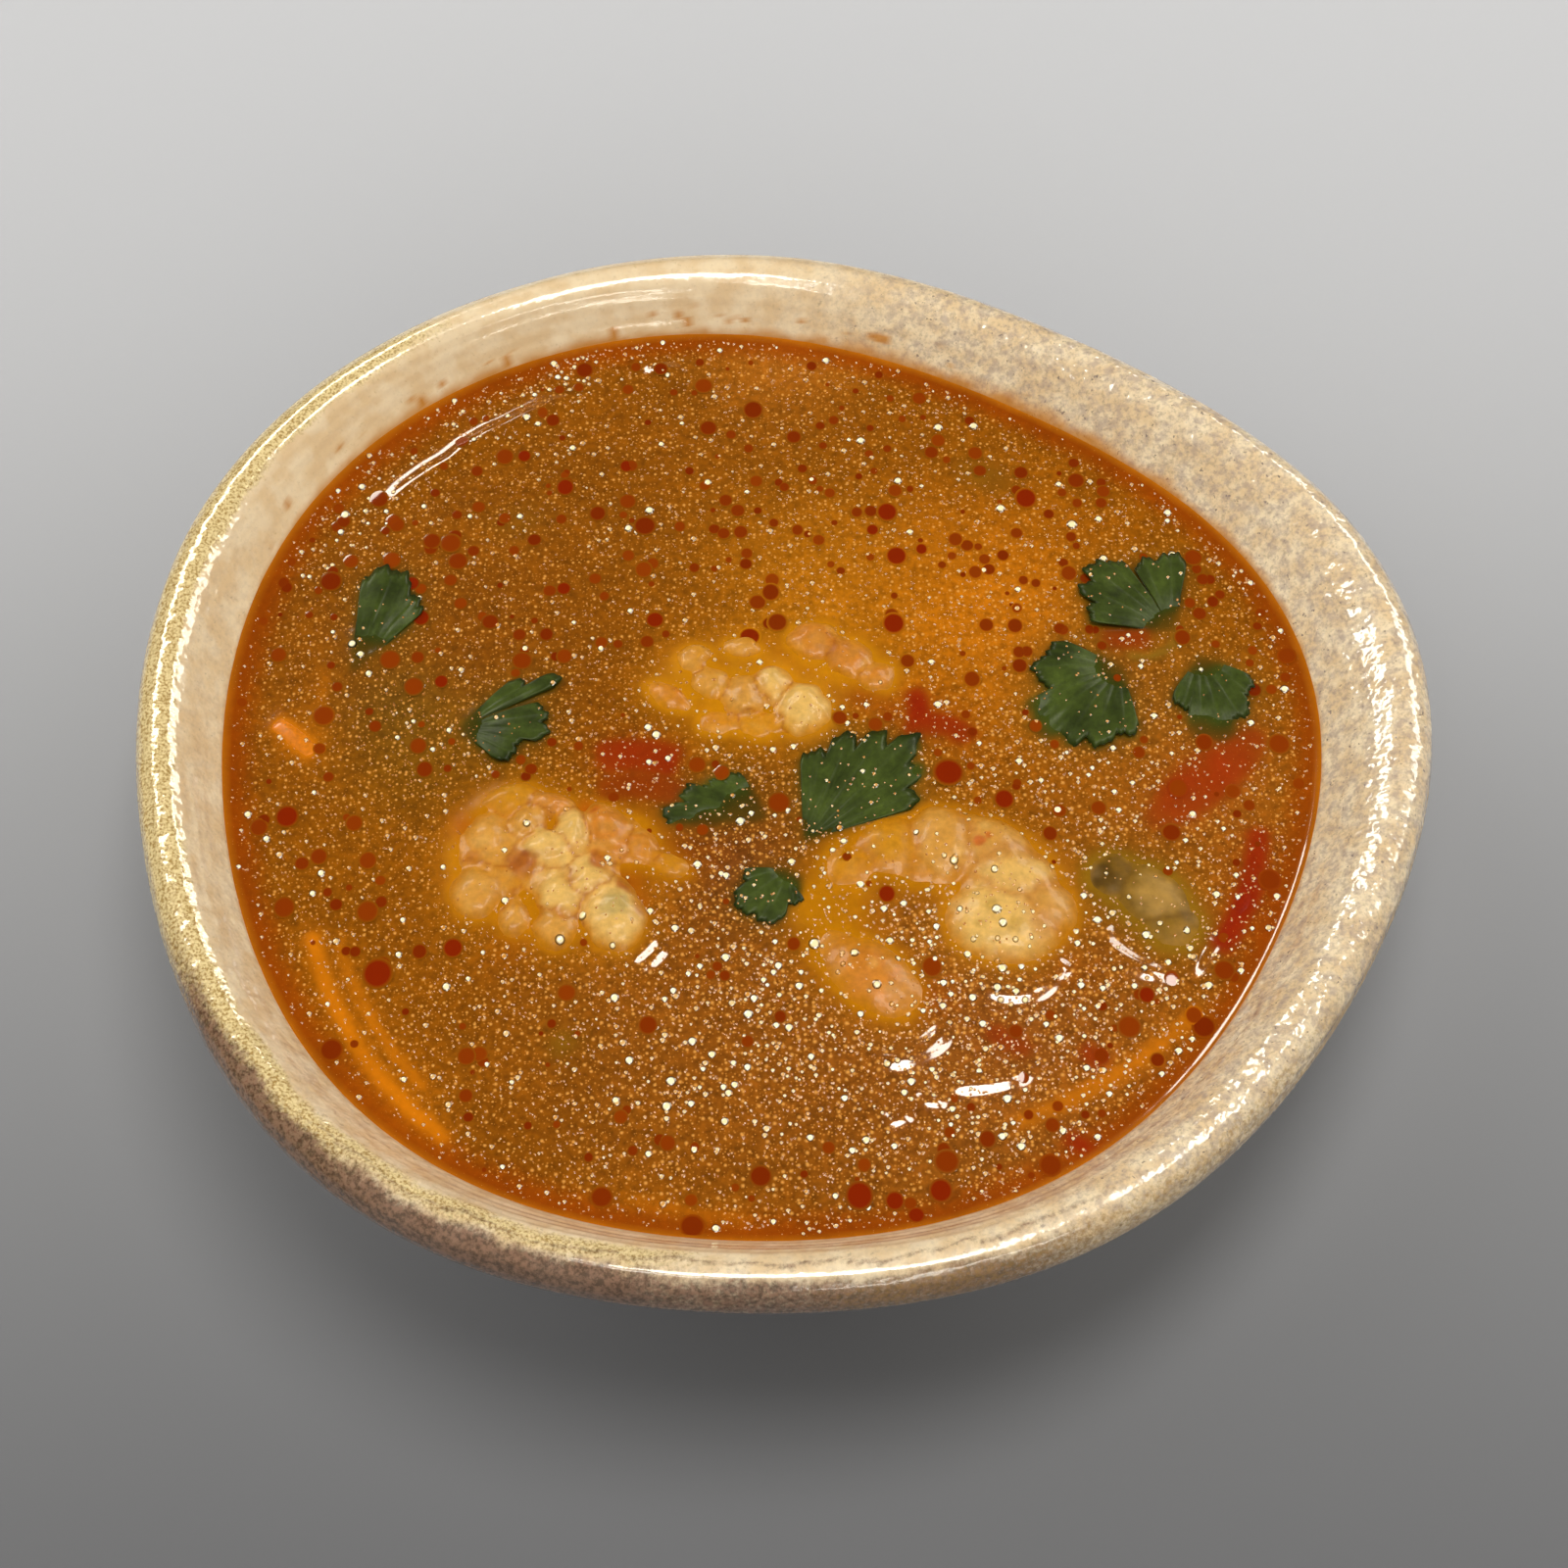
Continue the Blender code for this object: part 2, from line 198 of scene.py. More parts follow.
def mesh_from(name: str, bm: bmesh.types.BMesh) -> bpy.types.Mesh:
    """Turns a mesh under construction into a finished one, faces outward, and frees it.

    Args:
        name: the mesh's name.
        bm: the mesh under construction.

    Returns:
        The finished mesh.
    """
    bmesh.ops.recalc_face_normals(bm, faces=bm.faces[:])
    mesh = bpy.data.meshes.new(name)
    bm.to_mesh(mesh)
    bm.free()
    return mesh


def settled(item: bpy.types.Object) -> bpy.types.Mesh:
    """Works an object's modifiers into a new mesh and removes the object.

    Args:
        item: the object.

    Returns:
        The mesh as its modifiers leave it.
    """
    graph = bpy.context.evaluated_depsgraph_get()
    graph.update()
    mesh = bpy.data.meshes.new_from_object(item.evaluated_get(graph))
    bpy.data.objects.remove(item)
    return mesh


def hand_over(piece: bpy.types.Object, finish: "Finish", slot: str, *nodes: str) -> bpy.types.Object:
    """Dresses a piece and says what it rides on and stands for.

    Args:
        piece: the finished shape.
        finish: what it is made of.
        slot: the record's material slot; not used.
        nodes: the solids that it replaces.

    Returns:
        The piece.
    """
    piece.data.materials.clear()
    piece.data.materials.append(finish.material())
    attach(piece, BODY)
    if nodes:
        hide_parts(*nodes)
    log.info("%s: %d faces", piece.name, len(piece.data.polygons))
    return piece


def smooth_line(points: Sequence[Sequence[float]], spacings: Sequence[float]) -> np.ndarray:
    """Points along a smooth curve through the given ones.

    Args:
        points: rows whose first two values are the place, with any further values carried along.
        spacings: the distance between the made points, one for each stretch.

    Returns:
        The curve's points as rows.
    """
    rows = np.array(points, float)
    ends = np.vstack([2 * rows[0] - rows[1], rows, 2 * rows[-1] - rows[-2]])
    made = []
    for before, start, end, after, spacing in zip(ends, ends[1:], ends[2:], ends[3:], spacings):
        steps = max(1, round(math.dist(start[:2], end[:2]) / spacing))
        for t in np.arange(steps) / steps:
            straight = 2 * start + (end - before) * t
            bent = (2 * before - 5 * start + 4 * end - after) * t**2
            made.append((straight + bent + (3 * start - before - 3 * end + after) * t**3) / 2)
    made.append(rows[-1])
    return np.array(made)


@dataclass(frozen=True)
class Outline:
    """A line round the bowl that strays from a circle in a few waves.

    Each wave is (waves in one turn, height in mm, degrees from +X to its first peak).
    """

    radius: float
    waves: tuple[tuple[int, float, float], ...]

    def stray(self, angle: np.ndarray) -> np.ndarray:
        """How far the line lies outside its circle at each angle, in mm.

        Args:
            angle: angles in radians.

        Returns:
            One distance for each angle.
        """
        return sum(
            height * np.cos(count * (angle - math.radians(first)))
            for count, height, first in self.waves
        )


RIM = Outline(99.7, ((1, 2.8, 189), (2, 3.7, -8), (3, 2.2, 8), (4, 0.6, 24), (5, 1.2, 13)))
BROTH_LINE = Outline(85.3, ((1, 4.5, 195), (2, 2.8, -16), (3, 1.9, 8), (4, 0.8, 29), (5, 0.8, 13)))


def rim_centre() -> np.ndarray:
    """The middle of the rim's box in mm, which stands over the origin.

    Returns:
        Its x and y.
    """
    angle = np.radians(np.arange(360))
    reach = RIM.radius + RIM.stray(angle)
    ring = np.stack([reach * np.cos(angle), reach * np.sin(angle)])
    return (ring.min(axis=1) + ring.max(axis=1)) / 2


RIM_CENTRE = rim_centre()


def turned(name: str, rows: np.ndarray, steps: int) -> tuple[bpy.types.Mesh, np.ndarray, np.ndarray]:
    """A body turned from a profile and pushed out of round.

    Args:
        name: the mesh's name.
        rows: the profile in mm, as (radius, height, share of the rim's waves, share of the broth line's).
        steps: how many steps make the turn.

    Returns:
        The mesh, each vertex's place along the profile as a row number, and its angle.
    """
    bm = bmesh.new()
    order = bm.verts.layers.float.new("order")
    profile = []
    for number, (radius, height, _, _) in enumerate(rows):
        corner = bm.verts.new((radius * MM, 0, height * MM))
        corner[order] = number
        profile.append(corner)
    edges = [bm.edges.new(pair) for pair in zip(profile, profile[1:])]
    bmesh.ops.spin(
        bm,
        geom=profile + edges,
        cent=(0, 0, 0),
        axis=(0, 0, 1),
        angle=math.tau,
        steps=steps,
        use_merge=True,
    )
    bmesh.ops.remove_doubles(bm, verts=bm.verts[:], dist=0.001 * MM)
    mesh = mesh_from(name, bm)
    row = np.empty(len(mesh.vertices), np.float32)
    mesh.attributes["order"].data.foreach_get("value", row)
    row = row.astype(float)
    places = vertex_places(mesh)
    angle = np.arctan2(places[:, 1], places[:, 0])
    numbers = np.arange(len(rows))
    rim = np.interp(row, numbers, rows[:, 2])
    broth = np.interp(row, numbers, rows[:, 3])
    shift = rim * RIM.stray(angle) + broth * BROTH_LINE.stray(angle)
    away = np.stack([np.cos(angle), np.sin(angle)], axis=1)
    centre = np.maximum(rim, broth)[:, None] * RIM_CENTRE
    places[:, :2] += (away * shift[:, None] - centre) * MM
    move_vertices(mesh, places)
    return mesh, row, angle


# --- finishes ---


@dataclass(frozen=True)
class Finish:
    """A material named for what it is. Each kind adds its own nodes."""

    name: str
    roughness: float = 0.3
    ior: float = 1.45

    def material(self) -> bpy.types.Material:
        """The material, made once.

        Returns:
            The material.
        """
        found = bpy.data.materials.get(self.name)
        if found:
            return found
        made = bpy.data.materials.new(self.name)
        made.use_nodes = True
        surface = made.node_tree.nodes["Principled BSDF"]
        surface.inputs["Roughness"].default_value = self.roughness
        surface.inputs["IOR"].default_value = self.ior
        self.dress(made.node_tree, surface)
        return made

    def dress(self, tree: Tree, surface: bpy.types.Node) -> None:
        """Adds the finish's own nodes and links them to the surface."""
        raise NotImplementedError


@dataclass(frozen=True)
class Speckle:
    """Specks in a glaze: their noise's width in mm, detail and roughness, its step, and their colour."""

    size_mm: float
    detail: float
    rough: float
    low: float
    high: float
    full: float
    colour: str


@dataclass(frozen=True)
class ReactiveGlaze(Finish):
    """Glossy reactive glaze on stoneware: white that breaks to gold lustre and brown where it ran thin."""

    white: str = "#f0dcb8"
    shade: str = "#e3c79c"
    painted_bounce_light: str = "#d2a264"
    gold: str = "#a8884e"
    fleck: str = "#f8e2a8"
    brown: str = "#8a6654"
    burnt: str = "#4c342c"
    edge: str = "#b08c52"
    stain: str = "#bf780e"
    speckles: tuple[Speckle, ...] = (
        Speckle(0.7, 3.0, 0.6, 0.46, 0.7, 0.4, "#85776a"),
        Speckle(1.1, 2.0, 0.7, 0.64, 0.74, 1.0, "#85776a"),
        Speckle(1.5, 4.0, 0.65, 0.4, 0.66, 0.55, "#a08e88"),
    )

    def dress(self, tree: Tree, surface: bpy.types.Node) -> None:
        """The eye sees milky white with clouds and dark specks, a gold and brown lip, orange drips, and a
        painted warm glow of light bounced from the broth on the far-left inner wall.

        Args:
            tree: the material's node tree.
            surface: its Principled BSDF node.
        """
        node = partial(add_node, tree)
        place = node("TexCoord", out="Object")
        zones = node("Attribute", out="Color", attribute_name="glaze")
        zone = node("SeparateColor", {0: zones}).node.outputs
        painted = node("Attribute", out="Color", attribute_name="marks")
        marks = node("SeparateColor", {0: painted}).node.outputs
        cloud = node("TexNoise", bumps(place, 5.0, 3.0))
        cloud = node("MapRange", {"Value": cloud, "From Min": 0.35, "From Max": 0.65}, **SMOOTH)
        body = node("Mix", {0: cloud, 6: linear(self.white), 7: linear(self.shade)}, **COLOURS)
        # Painted light: a warm tint on the far-left inner wall stands in for light bounced from the broth.
        body = node("Mix", {0: marks["Blue"], 6: body, 7: linear(self.painted_bounce_light)}, **COLOURS)
        for speckle in self.speckles:
            grain = node("TexNoise", bumps(place, speckle.size_mm, speckle.detail, speckle.rough))
            limits = {"From Min": speckle.low, "From Max": speckle.high, "To Max": speckle.full}
            share = node("MapRange", {"Value": grain, **limits}, **SMOOTH)
            share = node("Math", {0: share, 1: marks["Green"]}, operation="MULTIPLY")
            body = node("Mix", {0: share, 6: body, 7: linear(speckle.colour)}, **COLOURS)
        flecks = node("TexNoise", bumps(place, 0.45, 2.0, 0.6))
        dusted = node("MapRange", {"Value": flecks, "From Min": 0.34, "From Max": 0.64}, **SMOOTH)
        lustre = node("Mix", {0: dusted, 6: linear(self.gold), 7: linear(self.fleck)}, **COLOURS)
        scorch = node("TexNoise", bumps(place, 0.9, 3.0, 0.7))
        scorch = node("MapRange", {"Value": scorch, "From Min": 0.36, "From Max": 0.62}, **SMOOTH)
        burnt = node("Mix", {0: scorch, 6: linear(self.burnt), 7: linear(self.brown)}, **COLOURS)
        ragged = node("TexNoise", bumps(place, 0.8, 3.0, 0.7))
        ragged = node("Math", {0: ragged, 1: 0.5}, operation="SUBTRACT")
        covered = {}
        for channel, strays, low, high, full, colour in (
            ("Red", 0.8, 0.15, 0.7, 1.0, lustre),
            ("Green", 1.1, 0.05, 0.85, 0.9, burnt),
            ("Blue", 1.8, 0.2, 0.9, 0.7, linear(self.edge)),
        ):
            spread = node("Math", {0: ragged, 1: strays}, operation="MULTIPLY")
            spread = node("Math", {0: zone[channel], 1: spread}, operation="ADD")
            limits = {"From Min": low, "From Max": high, "To Max": full}
            covered[channel] = node("MapRange", {"Value": spread, **limits}, **SMOOTH)
            body = node("Mix", {0: covered[channel], 6: body, 7: colour}, **COLOURS)
        body = node("Mix", {0: marks["Red"], 6: body, 7: linear(self.stain)}, **COLOURS)
        tree.links.new(body, surface.inputs["Base Color"])
        limits = {"From Min": 0.45, "From Max": 0.6, "To Max": 0.14}
        glint = node("MapRange", {"Value": flecks, **limits}, **SMOOTH)
        glint = node("Math", {0: covered["Red"], 1: glint}, operation="MULTIPLY")
        tree.links.new(glint, surface.inputs["Metallic"])
        peel = node("TexNoise", bumps(place, 3.2))
        peel = node("Math", {0: peel, 1: painted.node.outputs["Alpha"]}, operation="MULTIPLY")
        peel = node("Bump", {"Height": peel, "Distance": 0.6 * MM, "Strength": 1.0})
        pores = node("TexNoise", bumps(place, 0.6, 1.0))
        skin = node("Bump", {"Height": pores, "Distance": 0.012 * MM, "Strength": 1.0, "Normal": peel})
        surface.inputs["Coat Weight"].default_value = 0.6
        surface.inputs["Coat Roughness"].default_value = 0.08
        tree.links.new(skin, surface.inputs["Normal"])
        tree.links.new(skin, surface.inputs["Coat Normal"])


@dataclass(frozen=True)
class CloudyBroth(Finish):
    """Cloudy spiced broth under a film of oil: opaque, wet, and full of fine beads."""

    bead: str = "#e09c44"
    haze: str = "#cc8430"

    def dress(self, tree: Tree, surface: bpy.types.Node) -> None:
        """The eye sees brown-orange haze, what lies under it, and a carpet of beads too small to model.

        Args:
            tree: the material's node tree.
            surface: its Principled BSDF node.
        """
        node = partial(add_node, tree)
        place = node("TexCoord", out="Object")
        tone = node("Attribute", out="Color", attribute_name="tone")
        dense = tone.node.outputs["Alpha"]
        cloud = node("TexNoise", bumps(place, 1.3, 3.0, 0.6))
        limits = {"From Min": 0.3, "From Max": 0.7, "To Min": 0.6, "To Max": 1.36}
        cloud = node("MapRange", {"Value": cloud, **limits})
        calm = node("Mix", {0: dense, 6: (1.0, 1.0, 1.0, 1.0), 7: cloud}, **COLOURS)
        body = node("Mix", {0: 1.0, 6: tone, 7: calm}, **COLOURS, blend_type="MULTIPLY")
        for cell_mm, strength, colour in ((0.66, 0.8, self.haze), (1.2, 0.95, self.bead)):
            scale = {"Vector": place, "Scale": 1 / (cell_mm * MM)}
            cells = node("TexVoronoi", scale, voronoi_dimensions="2D").node.outputs
            chance = node("SeparateColor", {0: cells["Color"]}, out="Red")
            limits = {"From Min": 0.15, "From Max": 1.0, "To Max": 0.46}
            reach = node("MapRange", {"Value": chance, **limits}, **SMOOTH)
            reach = node("Math", {0: reach, 1: dense}, operation="MULTIPLY")
            limits = {"From Min": reach, "From Max": 0.0, "To Max": strength}
            dot = node("MapRange", {"Value": cells["Distance"], **limits}, **SMOOTH)
            body = node("Mix", {0: dot, 6: body, 7: linear(colour)}, **COLOURS)
        tree.links.new(body, surface.inputs["Base Color"])
        surface.inputs["Specular IOR Level"].default_value = 0.8


@dataclass(frozen=True)
class RedOil(Finish):
    """Chilli oil that floats in discs and beads: clear, dark red and very smooth."""

    def dress(self, tree: Tree, surface: bpy.types.Node) -> None:
        """The eye sees a drop's own colour, which fades to what it lies on at the rim, and a sharp shine."""
        tone = add_node(tree, "Attribute", out="Color", attribute_name="tone")
        tree.links.new(tone, surface.inputs["Base Color"])


@dataclass(frozen=True)
class WetFlesh(Finish):
    """Cooked flesh with a film of broth over it. Its shades are painted on the vertices."""

    fibre_mm: float = 0.8
    fibre_depth_mm: float = 0.03
    contrast: float = 0.18
    shine: float = 0.3
    coat: float = 0.25

    def dress(self, tree: Tree, surface: bpy.types.Node) -> None:
        """The eye sees fine fibres and faint mottling through a wet film.

        Args:
            tree: the material's node tree.
            surface: its Principled BSDF node.
        """
        node = partial(add_node, tree)
        tone = node("Attribute", out="Color", attribute_name="tone")
        fibre = node("TexNoise", bumps(node("TexCoord", out="Object"), self.fibre_mm, 3.0, 0.6))
        limits = {"From Min": 0.3, "From Max": 0.7, "To Min": 1 - self.contrast, "To Max": 1 + self.contrast}
        shade = node("MapRange", {"Value": fibre, **limits})
        body = node("Mix", {0: 1.0, 6: tone, 7: shade}, **COLOURS, blend_type="MULTIPLY")
        tree.links.new(body, surface.inputs["Base Color"])
        bump = node("Bump", {"Height": fibre, "Distance": self.fibre_depth_mm * MM, "Strength": 1.0})
        tree.links.new(bump, surface.inputs["Normal"])
        surface.inputs["Specular IOR Level"].default_value = self.shine
        surface.inputs["Coat Weight"].default_value = self.coat
        surface.inputs["Coat Roughness"].default_value = 0.06


@dataclass(frozen=True)
class PaintedFalloffSweep(Finish):
    """A matt backdrop whose colour darkens towards the front: painted shade where the light falls off."""

    far: str = "#cfd1d6"
    near: str = "#3e3f42"

    def dress(self, tree: Tree, surface: bpy.types.Node) -> None:
        """The eye sees a plain floor, pale at the back and dark at the front, its darkness painted shade.

        Args:
            tree: the material's node tree.
            surface: its Principled BSDF node.
        """
        node = partial(add_node, tree)
        across = node("SeparateXYZ", {0: node("TexCoord", out="Object")}, out="Y")
        # Painted shade: the floor's colour falls from pale to dark towards the front.
        share = node("MapRange", {"Value": across, "From Min": 0.3, "From Max": -0.28}, **SMOOTH)
        floor = node("Mix", {0: share, 6: linear(self.far), 7: linear(self.near)}, **COLOURS)
        tree.links.new(floor, surface.inputs["Base Color"])


GLAZE = ReactiveGlaze("reactive_glaze_on_stoneware", 0.16, 1.5)
BROTH = CloudyBroth("cloudy_spiced_broth", 0.08, 1.5)
OIL = RedOil("chilli_oil", 0.06, 1.55)
PRAWN = WetFlesh(
    "cooked_prawn_flesh",
    *(0.35, 1.4),
    fibre_mm=1.1,
    fibre_depth_mm=0.05,
    contrast=0.14,
    shine=0.2,
    coat=0.1,
)
MUSHROOM = WetFlesh(
    "cooked_straw_mushroom", 0.42, 1.4, fibre_mm=2.0, fibre_depth_mm=0.05, shine=0.1, coat=0.0
)
TOMATO = WetFlesh("soft_tomato_flesh", 0.3, 1.4, fibre_mm=1.2, fibre_depth_mm=0.06, contrast=0.3)
PEPPER = WetFlesh("red_pepper_skin", 0.2, 1.4, fibre_mm=1.0, fibre_depth_mm=0.02)
CARROT = WetFlesh("cooked_carrot", 0.3, 1.4, fibre_mm=0.9, fibre_depth_mm=0.04)
LEAF = WetFlesh("wilted_coriander_leaf", 0.35, 1.3, fibre_mm=0.9, fibre_depth_mm=0.03, contrast=0.2, coat=0.0)
BACKDROP = PaintedFalloffSweep("grey_sweep_painted_falloff", 0.9, 1.3)


# --- the bowl ---


@dataclass
class StonewareBowl:
    """The hand-thrown bowl: its uneven wall, throwing lines and run glaze."""

    foot: tuple = ((0.0, 2.0), (37.0, 2.0), (38.0, 0.0), (44.0, 0.0), (45.0, 1.0))
    wall: tuple = (
        (45.0, 5.0, 0.0, 0.0),
        (55.0, 10.5, 0.2, 0.0),
        (68.0, 20.0, 0.5, 0.0),
        (80.0, 30.0, 0.75, 0.0),
        (89.5, 39.5, 0.9, 0.0),
        (95.5, 46.5, 1.0, 0.0),
        (98.8, 51.5, 1.0, 0.0),
        (99.5, 54.5, 1.0, 0.0),
        (98.8, 57.6, 1.0, 0.0),
        (97.1, 59.3, 1.0, 0.0),
        (95.0, 59.9, 1.0, 0.0),
        (92.6, 59.2, 0.8, 0.2),
        (90.3, 57.2, 0.5, 0.5),
        (87.8, 54.0, 0.2, 0.8),
        (85.3, 50.5, 0.0, 1.0),
        (81.0, 44.0, 0.0, 1.0),
        (74.5, 36.0, 0.0, 0.9),
        (65.5, 28.0, 0.0, 0.7),
        (54.0, 20.8, 0.0, 0.5),
        (40.0, 14.6, 0.0, 0.3),
        (23.0, 11.4, 0.0, 0.1),
        (0.0, 10.5, 0.0, 0.0),
    )
    lip_starts: int = 5
    lip_ends: int = 14
    coarse: float = 2.6
    fine: float = 0.5
    steps: int = 380
    line_pitch: float = 2.5
    line_depth: float = 0.035

    def profile(self) -> np.ndarray:
        """The whole wall as (radius, height, rim share, broth share) rows, fine at the lip.

        Returns:
            The rows, from the middle of the foot to the middle of the inside.
        """
        spacings = [
            self.fine if self.lip_starts <= stretch < self.lip_ends else self.coarse
            for stretch in range(len(self.wall) - 1)
        ]
        foot = np.array([(*corner, 0.0, 0.0) for corner in self.foot])
        return np.vstack([foot, smooth_line(self.wall, spacings)])

    def build(self) -> bpy.types.Object:
        """Makes the bowl and paints where its glaze changes.

        Returns:
            The bowl's object.
        """
        rows = self.profile()
        mesh, row, angle = turned("bowl", rows, self.steps)
        steps = np.hypot(*np.diff(rows[:, :2], axis=0).T)
        along = np.concatenate([[0.0], np.cumsum(steps)])
        crest = along[np.argmax(rows[:, 1])]
        numbers = np.arange(len(rows))
        past_crest = np.interp(row, numbers, along) - crest
        places = vertex_places(mesh)
        self.throw(mesh, places, rows, row, angle, past_crest)
        self.glaze(mesh, places, angle, past_crest)
        return add_object("bowl_glazed", mesh)

    def throw(
        self,
        mesh: bpy.types.Mesh,
        places: np.ndarray,
        rows: np.ndarray,
        row: np.ndarray,
        angle: np.ndarray,
        past_crest: np.ndarray,
    ) -> None:
        """Adds the throwing lines and the uneven wall, along the profile's normal.

        Args:
            mesh: the bowl's mesh.
            places: its vertices, which are moved.
            rows: the profile.
            row: each vertex's place in the profile.
            angle: each vertex's angle.
            past_crest: how far each vertex lies from the crest, inward positive, in mm.
        """
        slope = np.gradient(rows[:, :2], axis=0)
        slope /= np.maximum(np.hypot(*slope.T), 1e-6)[:, None]
        numbers = np.arange(len(rows))
        out = np.interp(row, numbers, slope[:, 1])
        rise = np.interp(row, numbers, -slope[:, 0])
        ring = np.stack([np.cos(angle), np.sin(angle), np.zeros_like(angle)], axis=1) * 0.1
        drift = wander(ring, 0.03, 3.0)
        phase = past_crest / self.line_pitch + 0.45 * drift + angle / math.tau
        lined = ramp(-9, -6, past_crest) * ramp(13, 9, past_crest)
        depth = self.line_depth * (1 + 0.6 * wander(ring + [0, 0, 0.05], 0.02, 5.0))
        relief = lined * depth * np.cos(math.tau * phase)
        lump = wander(np.column_stack([ring[:, :2], past_crest * MM * 2]), 0.016, 9.0)
        relief += lined * (0.09 * lump - 0.09)
        away = np.stack([np.cos(angle), np.sin(angle)], axis=1)
        places[:, :2] += away * (relief * out)[:, None] * MM
        places[:, 2] += relief * rise * MM
        places[:, 2] = np.minimum(places[:, 2], RIM_HEIGHT)
        move_vertices(mesh, places)

    @staticmethod
    def sector(angle: np.ndarray, middle: float, half: float, fade: float) -> np.ndarray:
        """1 within half degrees of the middle angle, fading to 0 over the next fade degrees."""
        off = np.abs((np.degrees(angle) - middle + 180) % 360 - 180)
        return ramp(half + fade, half, off)

    def glaze(
        self, mesh: bpy.types.Mesh, places: np.ndarray, angle: np.ndarray, past_crest: np.ndarray
    ) -> None:
        """Paints where the glaze changes colour, what lies on it, and a painted warm glow of bounced light on
        the far-left inner wall.

        Args:
            mesh: the bowl's mesh.
            places: its vertices.
            angle: each vertex's angle.
            past_crest: how far each vertex lies from the crest, inward positive, in mm.
        """
        drift = 1.2 * wander(places, 0.008, 21.0) + 0.8 * wander(places, 0.003, 22.0)
        strayed = past_crest + drift
        paint(mesh, "glaze", self.zones(angle, strayed))
        stain = self.stains(places, angle, past_crest)
        specks = 0.3 + 0.7 * self.sector(angle, 10, 60, 30) - 0.2 * self.sector(angle, 118, 30, 20)
        # Painted light: the share of warm tint that stands in for light bounced from the broth.
        painted_bounce_light = 0.12 * self.sector(angle, 140, 50, 30) * ramp(12.0, 2.0, np.abs(strayed - 6.0))
        lumps = 0.15 + 0.85 * self.sector(angle, 10, 50, 25) + 0.6 * self.sector(angle, 195, 30, 20)
        paint(mesh, "marks", np.stack([stain, np.clip(specks, 0, 1), painted_bounce_light, lumps], axis=1))

    def zones(self, angle: np.ndarray, s: np.ndarray) -> np.ndarray:
        """Where the glaze turns gold, runs thin and brown, or wears at the edge.

        Args:
            angle: each vertex's angle.
            s: how far past the crest the glaze at each vertex behaves, in mm.

        Returns:
            The gold, the brown and the worn edge, each from 0 to 1, and a 1.
        """
        gold = self.sector(angle, 180, 38, 25) * ramp(4.5, 0.0, s)
        gold = np.maximum(gold, 0.3 * self.sector(angle, 128, 28, 25) * ramp(1.0, -2.5, s))
        gold = np.maximum(gold, 0.6 * self.sector(angle, 80, 30, 20) * ramp(-4.0, -6.5, s))
        streak = 0.62 * self.sector(angle, 236, 18, 16) * ramp(4.6, 1.6, s)
        gold = np.maximum(gold, streak * ramp(-3.0, 1.0, s))
        brown = self.sector(angle, 234, 18, 20) * ramp(1.2, -3.4, s)
        brown = np.maximum(brown, 0.75 * self.sector(angle, 266, 22, 16) * ramp(-0.6, -3.4, s))
        line = np.exp(-(((s - 0.6) / 0.5) ** 2))
        brown = np.maximum(brown, 0.5 * self.sector(angle, 262, 32, 14) * line)
        outer = ramp(-9.0, -14.0, s)
        edge = self.sector(angle, 28, 62, 16) * ramp(-4.2, -7.0, s)
        edge = np.maximum(edge, 0.5 * self.sector(angle, 300, 20, 14) * ramp(-1.0, -3.4, s))
        return np.stack([gold, np.maximum(brown, 0.5 * outer), edge, np.ones_like(s)], axis=1)

    def stains(self, places: np.ndarray, angle: np.ndarray, past_crest: np.ndarray) -> np.ndarray:
        """Where the broth left a tide line, drips and a splash on the inner wall.

        Args:
            places: the bowl's vertices.
            angle: each vertex's angle.
            past_crest: how far each vertex lies from the crest, inward positive, in mm.

        Returns:
            How strongly each vertex is stained.
        """
        height = (places[:, 2] - LEVEL) / MM
        inside = past_crest > 3
        ragged = 0.5 * wander(places, 0.0035, 31.0) + 0.35 * wander(places, 0.0012, 32.0)
        reach = 1.3 + 1.0 * self.sector(angle, 95, 40, 30) + 0.8 * self.sector(angle, 50, 24, 20)
        tide = np.where(inside, ramp(0.5, -0.35, height / reach - 0.55 + ragged * 0.45), 0.0)
        drips = np.where(inside, ramp(0.42, 0.6, wander(places, 0.0022, 37.0)), 0.0)
        drips *= self.sector(angle, 108, 40, 16) * ramp(6.0, 3.0, height)
        splash = np.hypot((np.degrees(angle) - 78.5) / 1.7, (height - 3.6) / 0.9) + 0.5 * ragged
        drips = np.maximum(drips, np.where(inside, ramp(1.0, 0.5, splash), 0.0))
        return np.clip(0.85 * tide + 0.8 * drips, 0, 0.9)


# --- the food ---


class Tint(Enum):
    """Shades of the food where it shows."""

    WHITE = "#d6aa5a"
    CREAM = "#c68c38"
    PINK = "#c27824"
    AMBER = "#be800e"
    OLIVE = "#8c6824"
    DARK_OLIVE = "#442f06"
    TOMATO = "#942806"
    PEPPER = "#841c04"
    CARROT = "#cc7208"
    STEM = "#80701e"


@dataclass(frozen=True)
class Film:
    """How the oily broth hides a piece: clear over one height, full under another, then lost with depth.

    Heights and depths in mm, from the broth's level.
    """

    shallow: str
    deep: str
    clear: float
    full: float
    fade: float = 1.2

    def over(self, colour: np.ndarray, height: np.ndarray) -> np.ndarray:
        """A piece's colours seen through the film at each height."""
        film = blend(linear(self.shallow), linear(self.deep), ramp(0.2, -1.4, height))
        return blend(colour, film, 0.94 * ramp(self.clear, self.full, height))


